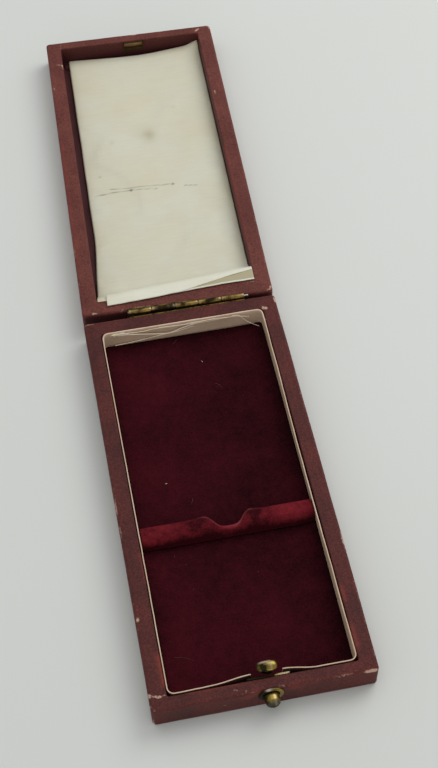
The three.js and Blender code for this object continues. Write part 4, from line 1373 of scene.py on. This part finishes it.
def rounded_hook():
    """The hook's head: a loaf that narrows towards the rim, hollowed at its left by the file."""
    middle = (hook_low + hook_high) / 2
    half_width = (hook_high.x - hook_low.x) / 2
    low, high = RIM_LEVEL - 1.2, hook_high.z
    rows, dark, bare_and_highlight = [], [], []
    levels = 30
    for j in range(levels + 1):
        v = j / levels
        z = lerp(low, high, v)
        cap = math.sqrt(max(0.0, 1 - max(0.0, (v - 0.66) / 0.34) ** 2.2))
        width = half_width * lerp(0.5, 1.0, smooth_step(v, 0.0, 0.7)) * lerp(0.5, 1, cap)
        beak = smooth_step(z, high - 1.1, high - 0.85) * (1 - smooth_step(z, high - 0.55, high - 0.05))
        ahead = lerp(0.35, 1, cap) * 0.9 + 0.55 * beak
        behind = 1.5 * lerp(0.75, 1.0, smooth_step(v, 0.2, 0.8)) * lerp(0.3, 1, cap)
        row = []
        for k in range(64):
            angle = math.tau * k / 64
            c, s = math.cos(angle), math.sin(angle)
            px = math.copysign(abs(c) ** 0.7, c) * width
            py = math.copysign(abs(s) ** 0.75, s) * (ahead if s < 0 else behind)
            hollow = 0.3 * hump(px, -0.7, 0.75) * (py < 0)
            row.append(Vector((middle.x + px, tray_low.y + 5.4 + py + hollow, z - 0.5 * hollow)))
            # Painted shade and light: a dark facet at the left of the front, a slightly darker left rim,
            # golden at the right and darker underneath.
            shade = 0.5 * hump(px, -0.9, 0.8) * smooth_step(-py, -1.0, 0.2)
            shade += 0.12 * hump(px, -2.3, 0.6) + 0.06 - 0.25 * hump(px, 1.5, 0.8)
            shade += 0.5 * smooth_step(-v, -0.5, -0.1)
            dark.append(shade)
            # Pale painted highlights along the top edge, in a band at the right and low in the middle.
            edge = 0.8 * smooth_step(py, 0.5, 0.9) * smooth_step(v, 0.72, 0.9)
            edge *= (1 - smooth_step(px, 0.4, 1.4)) * smooth_step(px, -2.5, -1.6)
            bare_and_highlight.append(min(1.0, edge + 0.3 * hump(px, 1.0, 0.22) * smooth_step(v, 0.5, 0.7)
                            + 0.45 * hump(px, 0.0, 0.5) * hump(v, 0.42, 0.1)))
        rows.append(row)
    head = rod("rounded_hook", rows, old_brass, {"dark": dark, "bare_and_highlight": bare_and_highlight})
    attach(head, "clasp")
    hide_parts("catch_hook")


# ---------------------------------------------------------------- carried-over nodes

CARRIED = [
    (base_leathercloth, "tray_base_cloth lid_base_cloth"),
    (strawboard, "tray_board lid_board bed_card"),
    (pine, "tray_rail_front tray_rail_rear tray_rail_left tray_rail_right"),
    (pine, "lid_rail_far lid_rail_near lid_rail_left lid_rail_right"),
    (old_brass, "catch_plate_tack_left catch_plate_tack_right button_stem"),
    (dark_brass, "striker_plate striker_tack_left striker_tack_right"),
    (hinge_brass, "tray_hinge_nail_1 tray_hinge_nail_2 tray_hinge_nail_3"),
    (hinge_brass, "lid_hinge_nail_1 lid_hinge_nail_2 lid_hinge_nail_3"),
]


def finish_carried_nodes():
    for material, names in CARRIED:
        for node in names.split():
            nodes[node].data.materials.clear()
            nodes[node].data.materials.append(material)


# ---------------------------------------------------------------- lint

# Pale specks on the velvet: x, y from the tray's front face, size.
LINT = [(-13.2, 64.1, 0.24), (-14.8, 42.2, 0.14), (-12.3, 39.2, 0.16), (5.2, 33.7, 0.17),
        (-11.7, 32.1, 0.12), (3.4, 101.9, 0.22), (6.0, 92.5, 0.10), (-7.4, 57.6, 0.12),
        (12.4, 88.0, 0.09), (-3.0, 24.0, 0.09)]
# Fine hairs on the velvet: from and to, x and y from the tray's front face.
HAIRS = [((-19.6, 14.9), (-15.0, 13.0)), ((-3.6, 109.6), (-1.7, 111.2)), ((5.5, 93.8), (7.1, 92.0)),
         ((-7.8, 56.9), (-7.1, 58.4))]


def lint():
    """Specks and hairs that have settled on the pile."""
    level = bed_high.z
    parts = []
    for i, (x, y, size) in enumerate(LINT):
        spot = Vector((x, tray_low.y + y, level + 0.12))
        turn = 1.7 * i
        along = Vector((math.cos(turn), math.sin(turn), 0.1))
        top = spot + Vector((0, 0, size * 0.4))
        parts.append(thread([spot - along * size, top, spot + along * size], size * 0.34, "speck",
                            None if size > 0.2 else dull_lint))
    for i, (a, b) in enumerate(HAIRS):
        start = Vector((a[0], tray_low.y + a[1], level + 0.02))
        end = Vector((b[0], tray_low.y + b[1], level + 0.02))
        bend = (start + end) / 2 + Vector((0.2, 0.3, 0.02))
        parts.append(thread([start, bend, end], 0.03, "hair", dull_lint))
    settled = joined("lint", parts)
    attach(settled, "tray")


# ---------------------------------------------------------------- the scene


def lay_table():
    side, front, back = 2000, -2000, 2400
    corners = [Vector((x, y, 0)) for x, y in ((-side, front), (side, front), (side, back), (-side, back))]
    table = mesh_object("table", corners, [(0, 1, 2, 3)], [table_top("laminate_matt")], smooth=False)


bpy.context.scene.view_settings.view_transform = "Standard"
set_camera()
light_studio()
lay_table()
finish_carried_nodes()
leathercloth_covering("tray_leathercloth", "tray_covering", TRAY, maroon_leathercloth)
lid_skin = leathercloth_covering("lid_leathercloth", "lid_covering", LID, paler_leathercloth)
line_tray()
velvet_bed("rear_velvet", "velvet_rear_bed", bed_low, bed_high)
velvet_bed("front_velvet", "velvet_front_bed", front_bed_low, front_bed_high)
ridge()
lid_pad = satin_pad()
pad_filling()
folded_satin()
torn_satin()
hinge_leaf("tray_hinge_leaf", "hinge_leaf_tray", TRAY, 0)
hinge_leaf("lid_hinge_leaf", "hinge_leaf_lid", LID, 1)
pin()
turned_collar()
domed_button()
catch_plate()
coil_spring()
rounded_hook()
lint()
